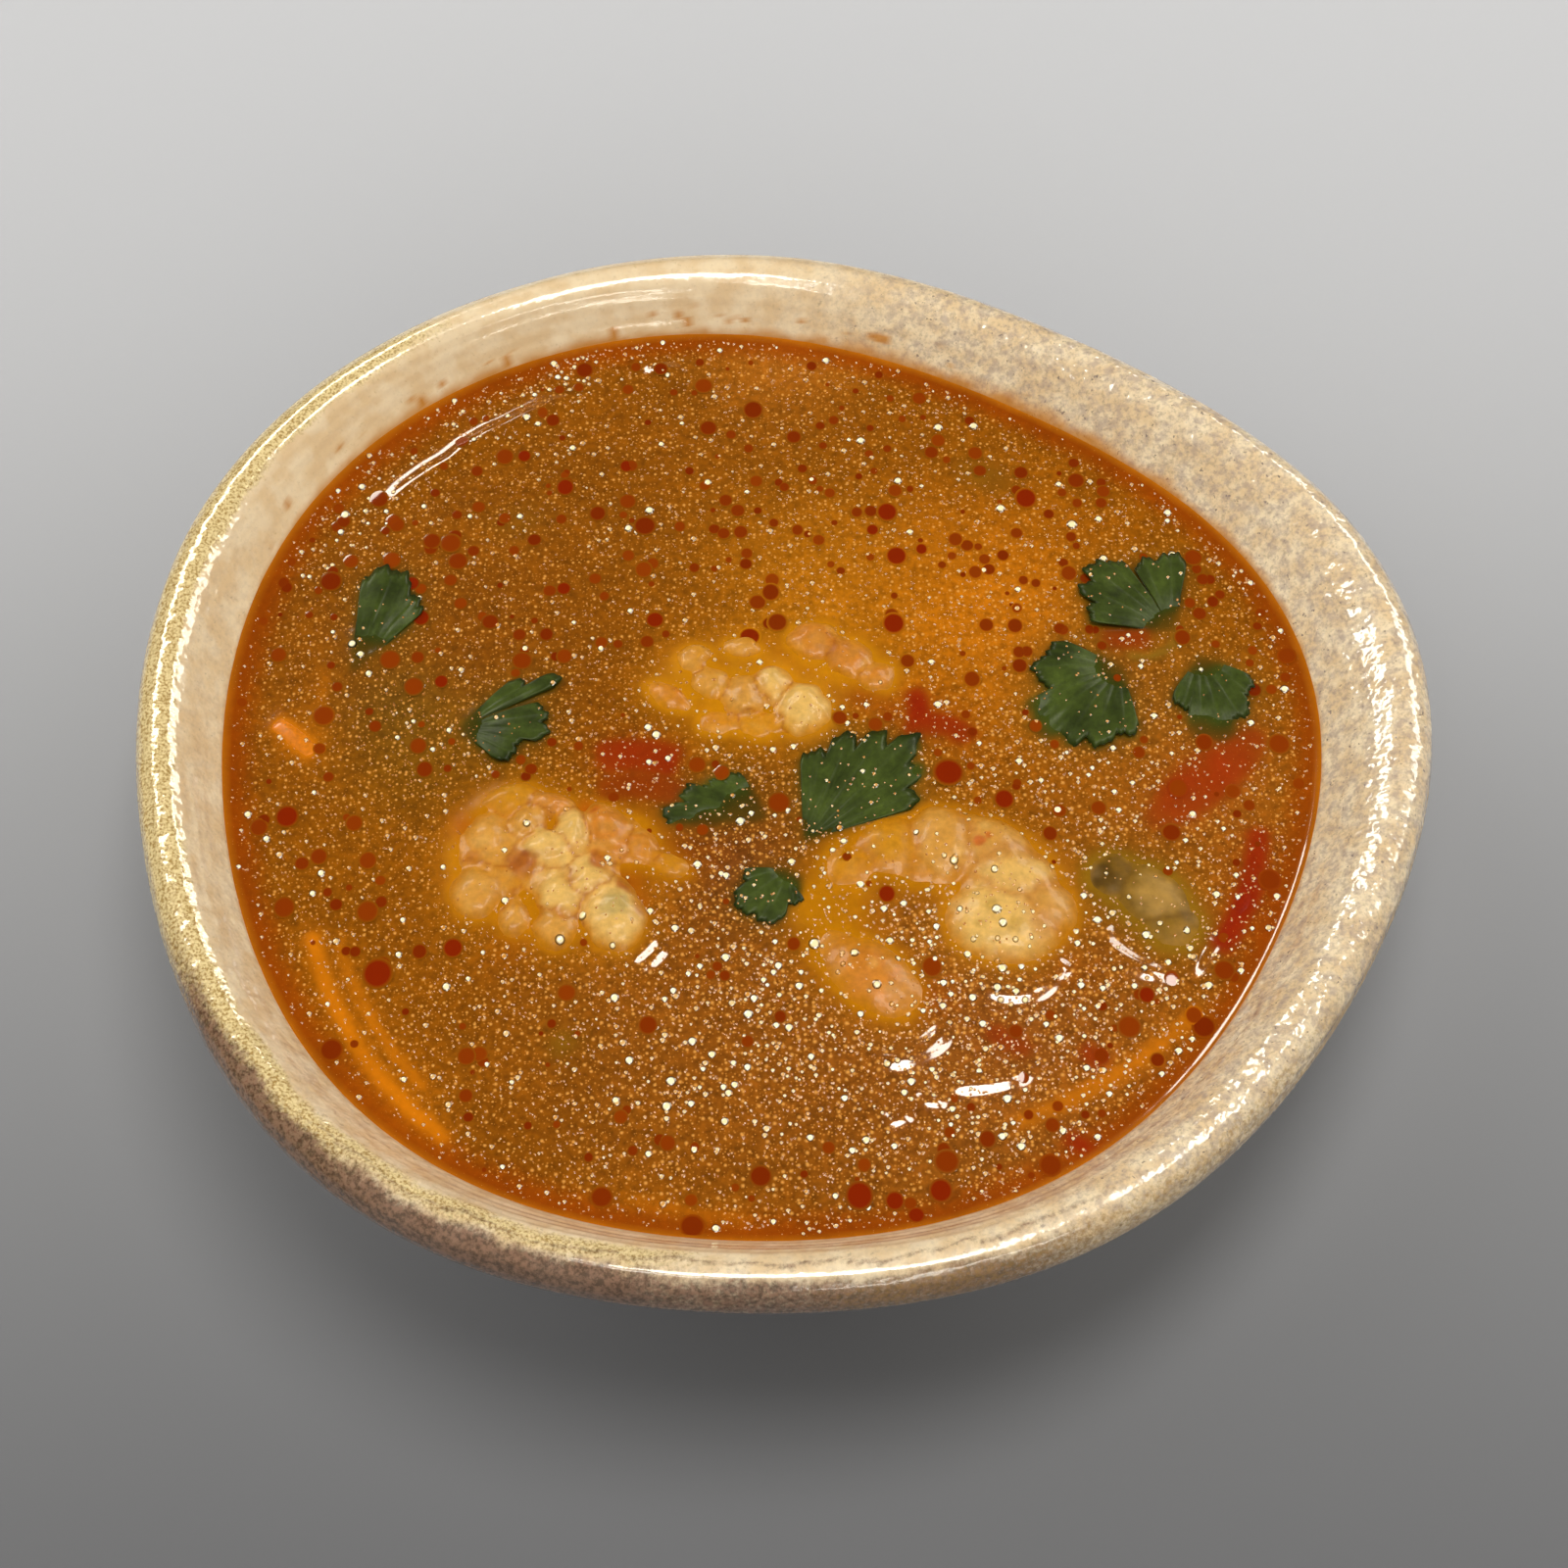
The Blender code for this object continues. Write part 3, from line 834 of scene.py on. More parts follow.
PRAWN_FILM = Film("#b87404", "#985404", 2.0, 0.2, 1.2)
DEEP_PRAWN_FILM = Film("#c07c06", "#a25e06", 1.7, 0.0, 1.3)
MUSHROOM_FILM = Film("#8a6210", "#74480a", 1.3, 0.1, 0.9)
TOMATO_FILM = Film("#963206", "#8a3206", 0.9, -0.2, 0.9)
PEPPER_FILM = Film("#902404", "#882c04", 0.4, -0.2, 0.8)
CARROT_FILM = Film("#d47806", "#be6a06", 0.6, -0.2, 1.1)
STEM_FILM = Film("#80641a", "#70500e", 0.4, -0.5, 0.9)
LEAF_FILM = Film("#2c300a", "#423a08", 0.15, -0.3, 0.8)


@dataclass(frozen=True)
class Lobe:
    """A rounded part of a soft body, in mm: its middle, top, half sizes, turn in degrees and shade.

    A lobe without a shade only fills the body out under the others.
    """

    x: float
    y: float
    top: float
    along: float
    across: float
    up: float
    degrees: float
    tint: Tint | None


@dataclass(frozen=True)
class Mark:
    """A stain on a piece, in mm: its middle, half width, colour and strength."""

    x: float
    y: float
    size: float
    colour: str
    strength: float

    def off(self, places: np.ndarray) -> np.ndarray:
        """How far places in metres lie from its middle, in half widths."""
        return np.hypot(places[:, 0] / MM - self.x, places[:, 1] / MM - self.y) / self.size


@dataclass
class SoftBody:
    """A soft piece grown from overlapping lobes, such as a curled prawn."""

    node: str
    lobes: tuple[Lobe, ...]
    finish: Finish
    slot: str
    film: Film
    marks: tuple[Mark, ...] = ()
    grid: float = 0.42
    smooth: int = 10
    lump: float = 0.34
    warp: float = 1.5
    crease_shade_and_stain: str = "#8e4004"
    crease_shade_strength: float = 0.6
    painted_hollow_shade: str = "#a8620e"
    pale: str = "#dcb060"
    dull: str = "#ac883c"
    seed: float = 1.0

    def build(self) -> bpy.types.Object:
        """Joins the lobes into one skin, roughens it and paints its shades.

        Returns:
            The body's object.
        """
        bm = bmesh.new()
        for lobe in self.lobes:
            turn = Euler((0, 0, math.radians(lobe.degrees)))
            middle = Vector((lobe.x * MM, lobe.y * MM, LEVEL + (lobe.top - lobe.up) * MM))
            half = Vector((lobe.along, lobe.across, lobe.up)) * MM
            place = Matrix.LocRotScale(middle, turn, half)
            bmesh.ops.create_icosphere(bm, subdivisions=4, radius=1, matrix=place)
        blank = add_object(f"{self.node}_lobes", mesh_from(self.node, bm))
        skin = blank.modifiers.new("Skin", "REMESH")
        skin.mode = "VOXEL"
        skin.voxel_size = self.grid * MM
        blend = blank.modifiers.new("Blend", "SMOOTH")
        blend.iterations = self.smooth
        mesh = settled(blank)
        places = vertex_places(mesh)
        normals = np.empty(len(mesh.vertices) * 3, np.float32)
        mesh.vertices.foreach_get("normal", normals)
        relief = self.lump * wander(places, 0.003, self.seed)
        relief = relief + 0.3 * self.lump * wander(places, 0.0012, self.seed + 7)
        move_vertices(mesh, places + normals.reshape(-1, 3) * (relief * MM)[:, None])
        self.shade(mesh)
        return add_object(f"{self.node}_flesh", mesh)

    def reaches(self, places: np.ndarray, shown: list[Lobe]) -> np.ndarray:
        """How far places lie from each lobe's middle, slightly warped.

        Args:
            places: the vertices.
            shown: the lobes.

        Returns:
            A row for each lobe, in its own half sizes.
        """
        warp = [
            wander(places, 0.004, self.seed + more) + 0.45 * wander(places, 0.0014, self.seed + more)
            for more in (21, 22)
        ]
        warped = places + self.warp * MM * np.stack([*warp, np.zeros(len(places))], axis=1)
        reach = []
        for lobe in shown:
            turn = math.radians(lobe.degrees)
            off = (warped - [lobe.x * MM, lobe.y * MM, LEVEL + (lobe.top - lobe.up) * MM]) / MM
            along = (off[:, 0] * math.cos(turn) + off[:, 1] * math.sin(turn)) / lobe.along
            across = (off[:, 1] * math.cos(turn) - off[:, 0] * math.sin(turn)) / lobe.across
            reach.append(np.sqrt(along**2 + across**2 + (off[:, 2] / lobe.up) ** 2))
        return np.array(reach)

    def shade(self, mesh: bpy.types.Mesh) -> None:
        """Paints each lobe's own colour, painted shade in the hollows and creases between lobes, the stains
        and the broth's film.

        Args:
            mesh: the body's mesh.
        """
        places = vertex_places(mesh)
        shown = [lobe for lobe in self.lobes if lobe.tint]
        reach = self.reaches(places, shown)
        shades = np.array([linear(lobe.tint.value) for lobe in shown])
        weight = np.exp(-9 * (reach - reach.min(axis=0)))
        colour = np.einsum("ln,lc->nc", weight, shades) / weight.sum(axis=0)[:, None]
        cloud = wander(places, 0.003, self.seed + 3)
        colour = blend(colour, linear(self.pale), 0.35 * ramp(0.1, 0.6, cloud))
        colour = blend(colour, linear(self.dull), 0.22 * ramp(-0.1, -0.6, cloud))
        far_away = np.full((1, len(places)), 99.0)
        ordered = np.sort(np.vstack([reach, far_away]), axis=0)
        gap = ordered[1] - ordered[0]
        line = np.maximum(0.035 + 0.03 * wander(places, 0.002, self.seed + 11), 0.012)
        # Painted shade: a thin dark line along each crease where two lobes meet.
        crease_shade_and_stain = np.exp(-((gap / line) ** 2)) * ramp(0.75, 0.9, ordered[0])
        # Painted shade: a soft darkening where lobes meet stands in for the shade in the hollows between
        # them.
        painted_hollow_shade = 0.5 * np.exp(-((gap / 0.16) ** 2)) * ramp(0.6, 0.85, ordered[0])
        colour = blend(colour, linear(self.painted_hollow_shade), painted_hollow_shade)
        patch = ramp(0.35, 0.7, wander(places, 0.0045, self.seed + 5))
        # The same dark orange, laid in random patches, stains the flesh.
        colour = blend(colour, linear(self.crease_shade_and_stain), 0.12 * patch)
        ragged = 0.3 * wander(places, 0.0015, 71.0)
        for mark in self.marks:
            share = mark.strength * ramp(1.2, 0.5, mark.off(places) + ragged)
            colour = blend(colour, linear(mark.colour), share)
        height = (places[:, 2] - LEVEL) / MM
        uneven = 0.55 * wander(places, 0.0032, self.seed + 15) + 0.3 * wander(places, 0.0013, self.seed + 16)
        colour = self.film.over(colour, height + uneven)
        colour = blend(colour, linear(self.crease_shade_and_stain), self.crease_shade_strength * crease_shade_and_stain * ramp(-0.4, 0.6, height))
        colour[:, 3] = 1
        paint(mesh, "tone", colour)


PRAWN_LEFT = (
    Lobe(-47.9, -26.6, 2.1, 5.4, 6.0, 4.6, 0, Tint.CREAM),
    Lobe(-46.4, -16.9, 2.1, 4.4, 5.4, 4.4, 0, Tint.CREAM),
    Lobe(-40.4, -14.4, 2.2, 3.2, 3.6, 3.4, -30, Tint.CREAM),
    Lobe(-37.2, -18.8, 2.6, 5.0, 3.2, 3.6, 4, Tint.WHITE),
    Lobe(-33.3, -15.6, 2.5, 3.0, 4.6, 3.4, 10, Tint.WHITE),
    Lobe(-37.0, -11.2, 2.1, 4.8, 2.6, 3.4, -4, Tint.PINK),
    Lobe(-43.0, -9.8, 1.5, 6.6, 4.0, 4.0, 14, Tint.AMBER),
    Lobe(-27.4, -15.6, 2.3, 3.8, 6.6, 4.0, 32, Tint.PINK),
    Lobe(-22.6, -18.6, 1.6, 4.2, 5.0, 4.0, 20, Tint.PINK),
    Lobe(-18.2, -21.6, 1.2, 5.6, 3.4, 3.4, -25, Tint.AMBER),
    Lobe(-34.9, -27.6, 2.6, 4.2, 4.8, 3.8, 0, Tint.WHITE),
    Lobe(-35.4, -33.0, 2.0, 4.4, 4.6, 3.8, 0, Tint.CREAM),
    Lobe(-30.4, -25.0, 2.5, 4.4, 4.0, 3.6, 0, Tint.WHITE),
    Lobe(-26.4, -30.4, 2.7, 5.8, 7.8, 4.8, 14, Tint.WHITE),
    Lobe(-41.8, -31.2, 1.6, 3.6, 4.6, 3.8, 0, Tint.CREAM),
    Lobe(-44.0, -19.6, 1.4, 12.6, 15.0, 6.6, 0, None),
    Lobe(-33.0, -23.0, 1.6, 13.6, 14.0, 6.6, 0, None),
    Lobe(-25.0, -18.0, 1.1, 9.6, 8.6, 6.0, 0, None),
)
PRAWN_CENTRE = (
    Lobe(-14.6, 16.4, 1.2, 4.2, 3.6, 3.0, 20, Tint.CREAM),
    Lobe(-6.8, 18.6, 1.2, 4.0, 3.0, 3.0, 0, Tint.CREAM),
    Lobe(-12.0, 11.8, 1.5, 4.2, 4.4, 3.4, 0, Tint.CREAM),
    Lobe(-6.6, 9.2, 1.9, 5.0, 5.2, 3.8, 0, Tint.CREAM),
    Lobe(-1.9, 11.2, 1.8, 4.4, 5.0, 3.8, 0, Tint.WHITE),
    Lobe(3.0, 6.8, 2.0, 5.8, 6.6, 4.4, 0, Tint.WHITE),
    Lobe(-18.6, 9.2, 1.1, 6.0, 3.0, 2.8, -30, Tint.PINK),
    Lobe(-10.2, 4.5, 0.9, 5.2, 3.8, 3.0, 0, Tint.PINK),
    Lobe(-3.8, 3.8, 0.8, 7.0, 4.2, 3.4, 0, Tint.AMBER),
    Lobe(5.4, 19.6, 1.7, 6.6, 4.8, 3.8, -15, Tint.PINK),
    Lobe(10.3, 16.8, 1.7, 6.2, 4.6, 3.6, -32, Tint.PINK),
    Lobe(15.0, 13.1, 1.3, 4.4, 4.2, 3.4, -30, Tint.PINK),
    Lobe(-6.0, 10.5, 0.3, 17.0, 13.0, 6.0, 0, None),
    Lobe(9.0, 16.0, 0.3, 13.0, 8.0, 5.0, -30, None),
    Lobe(-14.0, 12.0, 0.1, 11.0, 10.0, 5.0, 0, None),
)
PRAWN_RIGHT = (
    Lobe(34.2, -31.6, 2.7, 11.4, 9.0, 5.4, -6, Tint.WHITE),
    Lobe(40.2, -29.4, 2.3, 7.0, 6.2, 4.8, -30, Tint.CREAM),
    Lobe(35.8, -23.6, 2.7, 9.6, 6.0, 4.6, -38, Tint.WHITE),
    Lobe(32.6, -18.6, 2.5, 9.0, 5.6, 4.2, -34, Tint.CREAM),
    Lobe(25.2, -18.0, 2.6, 7.2, 8.2, 4.8, 14, Tint.CREAM),
    Lobe(17.0, -18.4, 1.7, 7.6, 7.2, 4.4, 20, Tint.AMBER),
    Lobe(10.2, -21.8, 1.1, 7.6, 6.8, 4.4, 40, Tint.AMBER),
    Lobe(4.8, -28.8, 0.3, 6.6, 10.0, 4.4, -12, Tint.AMBER),
    Lobe(8.2, -36.0, 0.8, 7.0, 7.4, 4.4, 0, Tint.AMBER),
    Lobe(13.6, -41.2, 2.0, 11.6, 7.0, 4.8, -40, Tint.PINK),
    Lobe(24.0, -20.0, 1.5, 15.0, 9.0, 6.0, 0, None),
    Lobe(35.0, -25.5, 1.9, 12.4, 12.8, 7.0, 0, None),
    Lobe(10.0, -30.0, -0.2, 9.0, 15.0, 6.0, 0, None),
    Lobe(12.0, -40.0, 0.7, 13.0, 8.5, 6.0, -40, None),
)
STRAW_MUSHROOM = (
    Lobe(51.6, -23.8, 1.2, 7.0, 6.4, 4.2, -20, Tint.DARK_OLIVE),
    Lobe(57.4, -27.6, 1.6, 10.2, 7.0, 4.6, -45, Tint.OLIVE),
    Lobe(60.2, -32.2, 1.2, 7.0, 6.8, 4.2, 0, Tint.OLIVE),
    Lobe(55.6, -28.0, 0.6, 12.4, 8.4, 5.0, -45, None),
)
LEFT_MARKS = (
    Mark(-40.9, -21.8, 2.9, "#8c3802", 0.92),
    Mark(-30.4, -11.2, 1.7, "#a83c04", 0.85),
    Mark(-24.0, -25.0, 2.3, "#964004", 0.85),
    Mark(-28.9, -21.2, 2.0, "#9a4206", 0.8),
    Mark(-36.8, -14.6, 1.5, "#98600e", 0.75),
    Mark(-21.2, -29.4, 2.2, "#964406", 0.6),
    Mark(-49.0, -20.6, 1.6, "#a85408", 0.7),
    Mark(-26.2, -29.6, 2.6, "#9c8a50", 0.6),
    Mark(-41.6, -33.6, 1.3, "#8f5c10", 0.6),
    Mark(-38.4, -30.4, 1.4, "#9a5408", 0.7),
)
RIGHT_MARKS = (
    Mark(30.6, -18.4, 1.1, "#b4500a", 0.8),
    Mark(32.0, -17.4, 0.7, "#b4500a", 0.7),
    Mark(36.0, -33.4, 1.5, "#a47c20", 0.5),
    Mark(32.0, -29.6, 1.1, "#ac8630", 0.5),
    Mark(30.0, -33.0, 1.0, "#ac8630", 0.5),
    Mark(27.6, -23.4, 1.4, "#a4600c", 0.5),
    Mark(11.6, -38.8, 2.4, "#b4690e", 0.5),
    Mark(17.6, -44.6, 2.4, "#bb8440", 0.5),
)
MUSHROOM_MARKS = (
    Mark(51.4, -21.8, 4.2, "#523808", 0.7),
    Mark(54.4, -30.0, 2.6, "#5c420e", 0.45),
    Mark(58.2, -27.4, 4.4, "#b48c48", 0.5),
    Mark(62.4, -34.6, 2.8, "#a07428", 0.6),
)
CENTRE_MARKS = (
    Mark(-11.0, 15.6, 1.7, "#b4500a", 0.6),
    Mark(-3.6, 15.4, 1.9, "#a4430a", 0.6),
    Mark(-16.4, 10.6, 1.4, "#b4500a", 0.5),
    Mark(0.2, 3.6, 1.7, "#c48a16", 0.5),
    Mark(8.0, 12.6, 2.0, "#b06008", 0.6),
)


@dataclass
class CutStrip:
    """A strip cut from a carrot or pepper, bent round an upright axis. Sizes in mm, angles in degrees."""

    node: str
    x: float
    y: float
    bend: float
    width: float
    depth: float
    start: float
    end: float
    finish: Finish
    slot: str
    tint: Tint
    film: Film
    top: float = 0.35
    sway: float = 0.3

    def build(self) -> bpy.types.Object:
        """Spins a rounded section along the bend, roughens it and paints it.

        Returns:
            The strip's object.
        """
        bm = bmesh.new()
        half, deep = self.width / 2, self.depth / 2
        middle = Vector((self.bend * MM, 0, LEVEL + (self.top - deep) * MM))
        size = Matrix.Diagonal((half * MM, 1, deep * MM, 1))
        upright = Matrix.Rotation(math.pi / 2, 4, "X")
        ring = bmesh.ops.create_circle(
            bm, segments=14, radius=1, cap_ends=True, matrix=Matrix.Translation(middle) @ size @ upright
        )
        for corner in ring["verts"]:
            off = corner.co - middle
            corner.co.x = middle.x + half * MM * math.copysign(abs(off.x / (half * MM)) ** 0.6, off.x)
            corner.co.z = middle.z + deep * MM * math.copysign(abs(off.z / (deep * MM)) ** 0.6, off.z)
        first, last = math.radians(self.start), math.radians(self.end)
        turn = Matrix.Rotation(first, 3, "Z")
        bmesh.ops.rotate(bm, verts=bm.verts[:], cent=(0, 0, 0), matrix=turn)
        steps = max(12, round(abs(last - first) * self.bend / 0.7))
        section = bm.faces[:]
        start = bm.verts[:]
        made = bmesh.ops.spin(
            bm,
            geom=section,
            cent=(0, 0, 0),
            axis=(0, 0, 1),
            angle=last - first,
            steps=steps,
            use_duplicate=False,
        )
        bmesh.ops.contextual_create(bm, geom=start)
        for cap, angle in ((start, first), (self.end_ring(made), last)):
            centre = Vector((self.bend * MM * math.cos(angle), self.bend * MM * math.sin(angle), middle.z))
            bmesh.ops.scale(bm, verts=cap, vec=(0.7, 0.7, 0.7), space=Matrix.Translation(-centre))
        bmesh.ops.translate(bm, verts=bm.verts[:], vec=(self.x * MM, self.y * MM, 0))
        mesh = mesh_from(self.node, bm)
        places = vertex_places(mesh)
        drift = np.stack([wander(places, 0.006, seed) for seed in (2.0, 4.0, 6.0)], axis=1)
        places += drift * self.sway * MM
        move_vertices(mesh, places)
        height = (places[:, 2] - LEVEL) / MM + 0.15 * wander(places, 0.0015, 8.0)
        own = np.tile(linear(self.tint.value), (len(places), 1))
        paint(mesh, "tone", self.film.over(own, height))
        return add_object(f"{self.node}_cut", mesh)

    @staticmethod
    def end_ring(made: dict) -> list[bmesh.types.BMVert]:
        """The vertices of the section where a spin ended."""
        return [item for item in made["geom_last"] if isinstance(item, bmesh.types.BMVert)]


@dataclass
class TomatoWedge:
    """A soft wedge of tomato, its skin side down, nearly flush with the broth. Sizes in mm."""

    node: str = "tomato_wedge"
    x: float = 67.2
    y: float = -6.0
    length: float = 26.0
    width: float = 9.0
    depth: float = 6.0
    degrees: float = 42.0
    top: float = -0.05
    dome: float = 0.12
    pulp_tone: str = "#a63c10"
    film: Film = TOMATO_FILM

    def build(self) -> bpy.types.Object:
        """Halves a ball, presses its cut face into pulp and paints it.

        Returns:
            The wedge's object.
        """
        bm = bmesh.new()
        bmesh.ops.create_icosphere(bm, subdivisions=5, radius=1)
        for corner in bm.verts:
            if corner.co.z > 0:
                corner.co.z *= self.dome
        half_sizes = (self.length / 2 * MM, self.width / 2 * MM, self.depth * MM)
        bmesh.ops.scale(bm, verts=bm.verts[:], vec=half_sizes)
        turn = Matrix.Rotation(math.radians(self.degrees), 3, "Z")
        bmesh.ops.rotate(bm, verts=bm.verts[:], cent=(0, 0, 0), matrix=turn)
        flat = LEVEL + (self.top - self.dome * self.depth) * MM
        bmesh.ops.translate(bm, verts=bm.verts[:], vec=(self.x * MM, self.y * MM, flat))
        mesh = mesh_from(self.node, bm)
        places = vertex_places(mesh)
        pulp = wander(places, 0.003, 41.0) + 0.5 * wander(places, 0.0012, 42.0)
        places[:, 2] += 0.3 * pulp * MM
        move_vertices(mesh, places)
        colour = blend(linear(Tint.TOMATO.value), linear(self.pulp_tone), np.clip(0.5 + 0.6 * pulp, 0, 1))
        paint(mesh, "tone", self.film.over(colour, (places[:, 2] - LEVEL) / MM))
        return add_object("tomato_pulp", mesh)


@dataclass(frozen=True)
class LeafLobe:
    """A round finger of a leaf: the degrees it points to, its reach and its tip's radius in mm."""

    degrees: float
    reach: float
    radius: float

    def edge(self, angle: float) -> float:
        """How far the finger reaches from the stalk towards an angle in degrees.

        Args:
            angle: the angle.

        Returns:
            The reach in mm, or 0 where the finger doesn't lie.
        """
        off = math.radians(angle - self.degrees)
        middle = self.reach - self.radius
        aside = middle * math.sin(off)
        if abs(aside) >= self.radius or math.cos(off) <= 0:
            return 0.0
        return middle * math.cos(off) + math.sqrt(self.radius**2 - aside**2)


@dataclass
class CorianderLeaf:
    """A coriander leaflet that fans out from its stalk end in round fingers, partly under the broth."""

    node: str
    x: float
    y: float
    lobes: tuple[LeafLobe, ...]
    green: ClassVar[str] = "#252f08"
    light_green: ClassVar[str] = "#44521a"
    edge_green: ClassVar[str] = "#1a2408"
    past_fingers: ClassVar[float] = 16
    lift: float = 0.7
    base: float = -0.5
    cup: float = 0.5
    sinks_to: float = 0.0
    sunk: float = 0.3
    steps: int = 110
    rings: int = 13
    thickness: float = 0.25
    seed: float = 1.0

    def edge(self, angle: float) -> float:
        """The leaf's reach in mm towards an angle in degrees."""
        tooth = 1 + 0.025 * math.sin(angle * 0.55 + self.seed * 2) + 0.015 * math.sin(angle * 1.3 + self.seed)
        return max(1.2, max(lobe.edge(angle) for lobe in self.lobes) * tooth)

    def fan(self, first: float, last: float) -> bpy.types.Mesh:
        """The flat leaflet in mm: rings of vertices from its stalk out to the edge.

        Args:
            first: where the fan starts, in degrees.
            last: where it ends.

        Returns:
            The mesh.
        """
        bm = bmesh.new()
        stalk = bm.verts.new((0, 0, 0))
        spokes = []
        for step in range(self.steps + 1):
            angle = first + (last - first) * step / self.steps
            reach = self.edge(angle)
            way = Vector((math.cos(math.radians(angle)), math.sin(math.radians(angle)), 0))
            rings = range(1, self.rings + 1)
            spokes.append([bm.verts.new(way * reach * ring / self.rings) for ring in rings])
        for one, other in zip(spokes, spokes[1:]):
            bm.faces.new((stalk, one[0], other[0]))
            for ring in range(self.rings - 1):
                bm.faces.new((one[ring], one[ring + 1], other[ring + 1], other[ring]))
        mesh = bpy.data.meshes.new(self.node)
        bm.to_mesh(mesh)
        bm.free()
        return mesh

    def build(self) -> bpy.types.Object:
        """Cups and ripples the fanned leaflet, paints it and gives it thickness.

        Returns:
            The leaf's object.
        """
        first = min(lobe.degrees for lobe in self.lobes) - self.past_fingers
        last = max(lobe.degrees for lobe in self.lobes) + self.past_fingers
        middle = (first + last) / 2
        mesh = self.fan(first, last)
        flat = vertex_places(mesh)
        reach = np.hypot(flat[:, 0], flat[:, 1])
        angle = np.degrees(np.arctan2(flat[:, 1], flat[:, 0]))
        angle = middle + (angle - middle + 180) % 360 - 180
        longest = max(lobe.reach for lobe in self.lobes)
        share = reach / longest
        vein = np.zeros_like(reach)
        for lobe in self.lobes:
            off = np.abs(np.radians(angle - lobe.degrees)) * reach
            line = np.exp(-((off / 0.3) ** 2)) * ramp(0.5, 3.0, reach) * ramp(1.0, 0.7, share)
            vein = np.maximum(vein, line)
        rim = np.array([self.edge(float(value)) for value in angle])
        near_edge = ramp(1.1, 0.1, rim - reach)
        side = (angle - middle) / (last - middle)
        way = np.array([math.cos(math.radians(self.sinks_to)), math.sin(math.radians(self.sinks_to))])
        span = flat[:, :2] @ way
        span = (span - span.min()) / np.ptp(span) + 0.12 * wander(flat * MM, 0.003, self.seed + 9)
        under = ramp(1 - self.sunk - 0.14, 1 - self.sunk + 0.14, span)
        wave = wander(flat * MM, 0.005, self.seed)
        height = self.base + (self.lift - self.base) * ramp(0.0, 0.45, share)
        height += self.cup * (side * share) ** 2 + 0.4 * wave * share - 0.06 * vein
        height -= 0.3 * near_edge * (0.6 + 0.6 * wander(flat * MM, 0.004, self.seed + 4))
        height = height * (1 - under) + (-0.35 + 0.15 * wave) * under
        places = np.column_stack([flat[:, 0] + self.x, flat[:, 1] + self.y, height + LEVEL / MM]) * MM
        move_vertices(mesh, places)
        self.shade(mesh, flat, height, vein, near_edge)
        blade = add_object(f"{self.node}_flat", mesh)
        thick = blade.modifiers.new("Thickness", "SOLIDIFY")
        thick.thickness = self.thickness * MM
        thick.offset = -1
        return add_object(f"{self.node}_blade", settled(blade))

    def shade(
        self,
        mesh: bpy.types.Mesh,
        flat: np.ndarray,
        height: np.ndarray,
        vein: np.ndarray,
        near_edge: np.ndarray,
    ) -> None:
        """Paints the green, its veins, its dark edge and the part that the broth covers.

        Args:
            mesh: the leaf's mesh.
            flat: its vertices before they were placed, in mm.
            height: each vertex's height over the broth's level, in mm.
            vein: 1 along a vein.
            near_edge: 1 at the leaf's edge.
        """
        cloud = wander(flat * MM, 0.0035, self.seed + 2) + 0.5 * wander(flat * MM, 0.0012, self.seed + 6)
        light = np.clip(0.45 + 0.6 * cloud + 0.12 * vein, 0, 1)
        colour = blend(linear(self.green), linear(self.light_green), light)
        colour = blend(colour, linear(self.edge_green), 0.7 * near_edge)
        colour = LEAF_FILM.over(colour, height + 0.1 * cloud)
        colour[:, 3] = 1
        paint(mesh, "tone", colour)


def leaf(
    number: int, x: float, y: float, *fingers: tuple[float, float, float], **form: float
) -> CorianderLeaf:
    """A leaflet whose fingers are (degrees, reach, tip radius)."""
    lobes = tuple(LeafLobe(*finger) for finger in fingers)
    return CorianderLeaf(f"coriander_leaf_{number}", x, y, lobes, seed=number, **form)


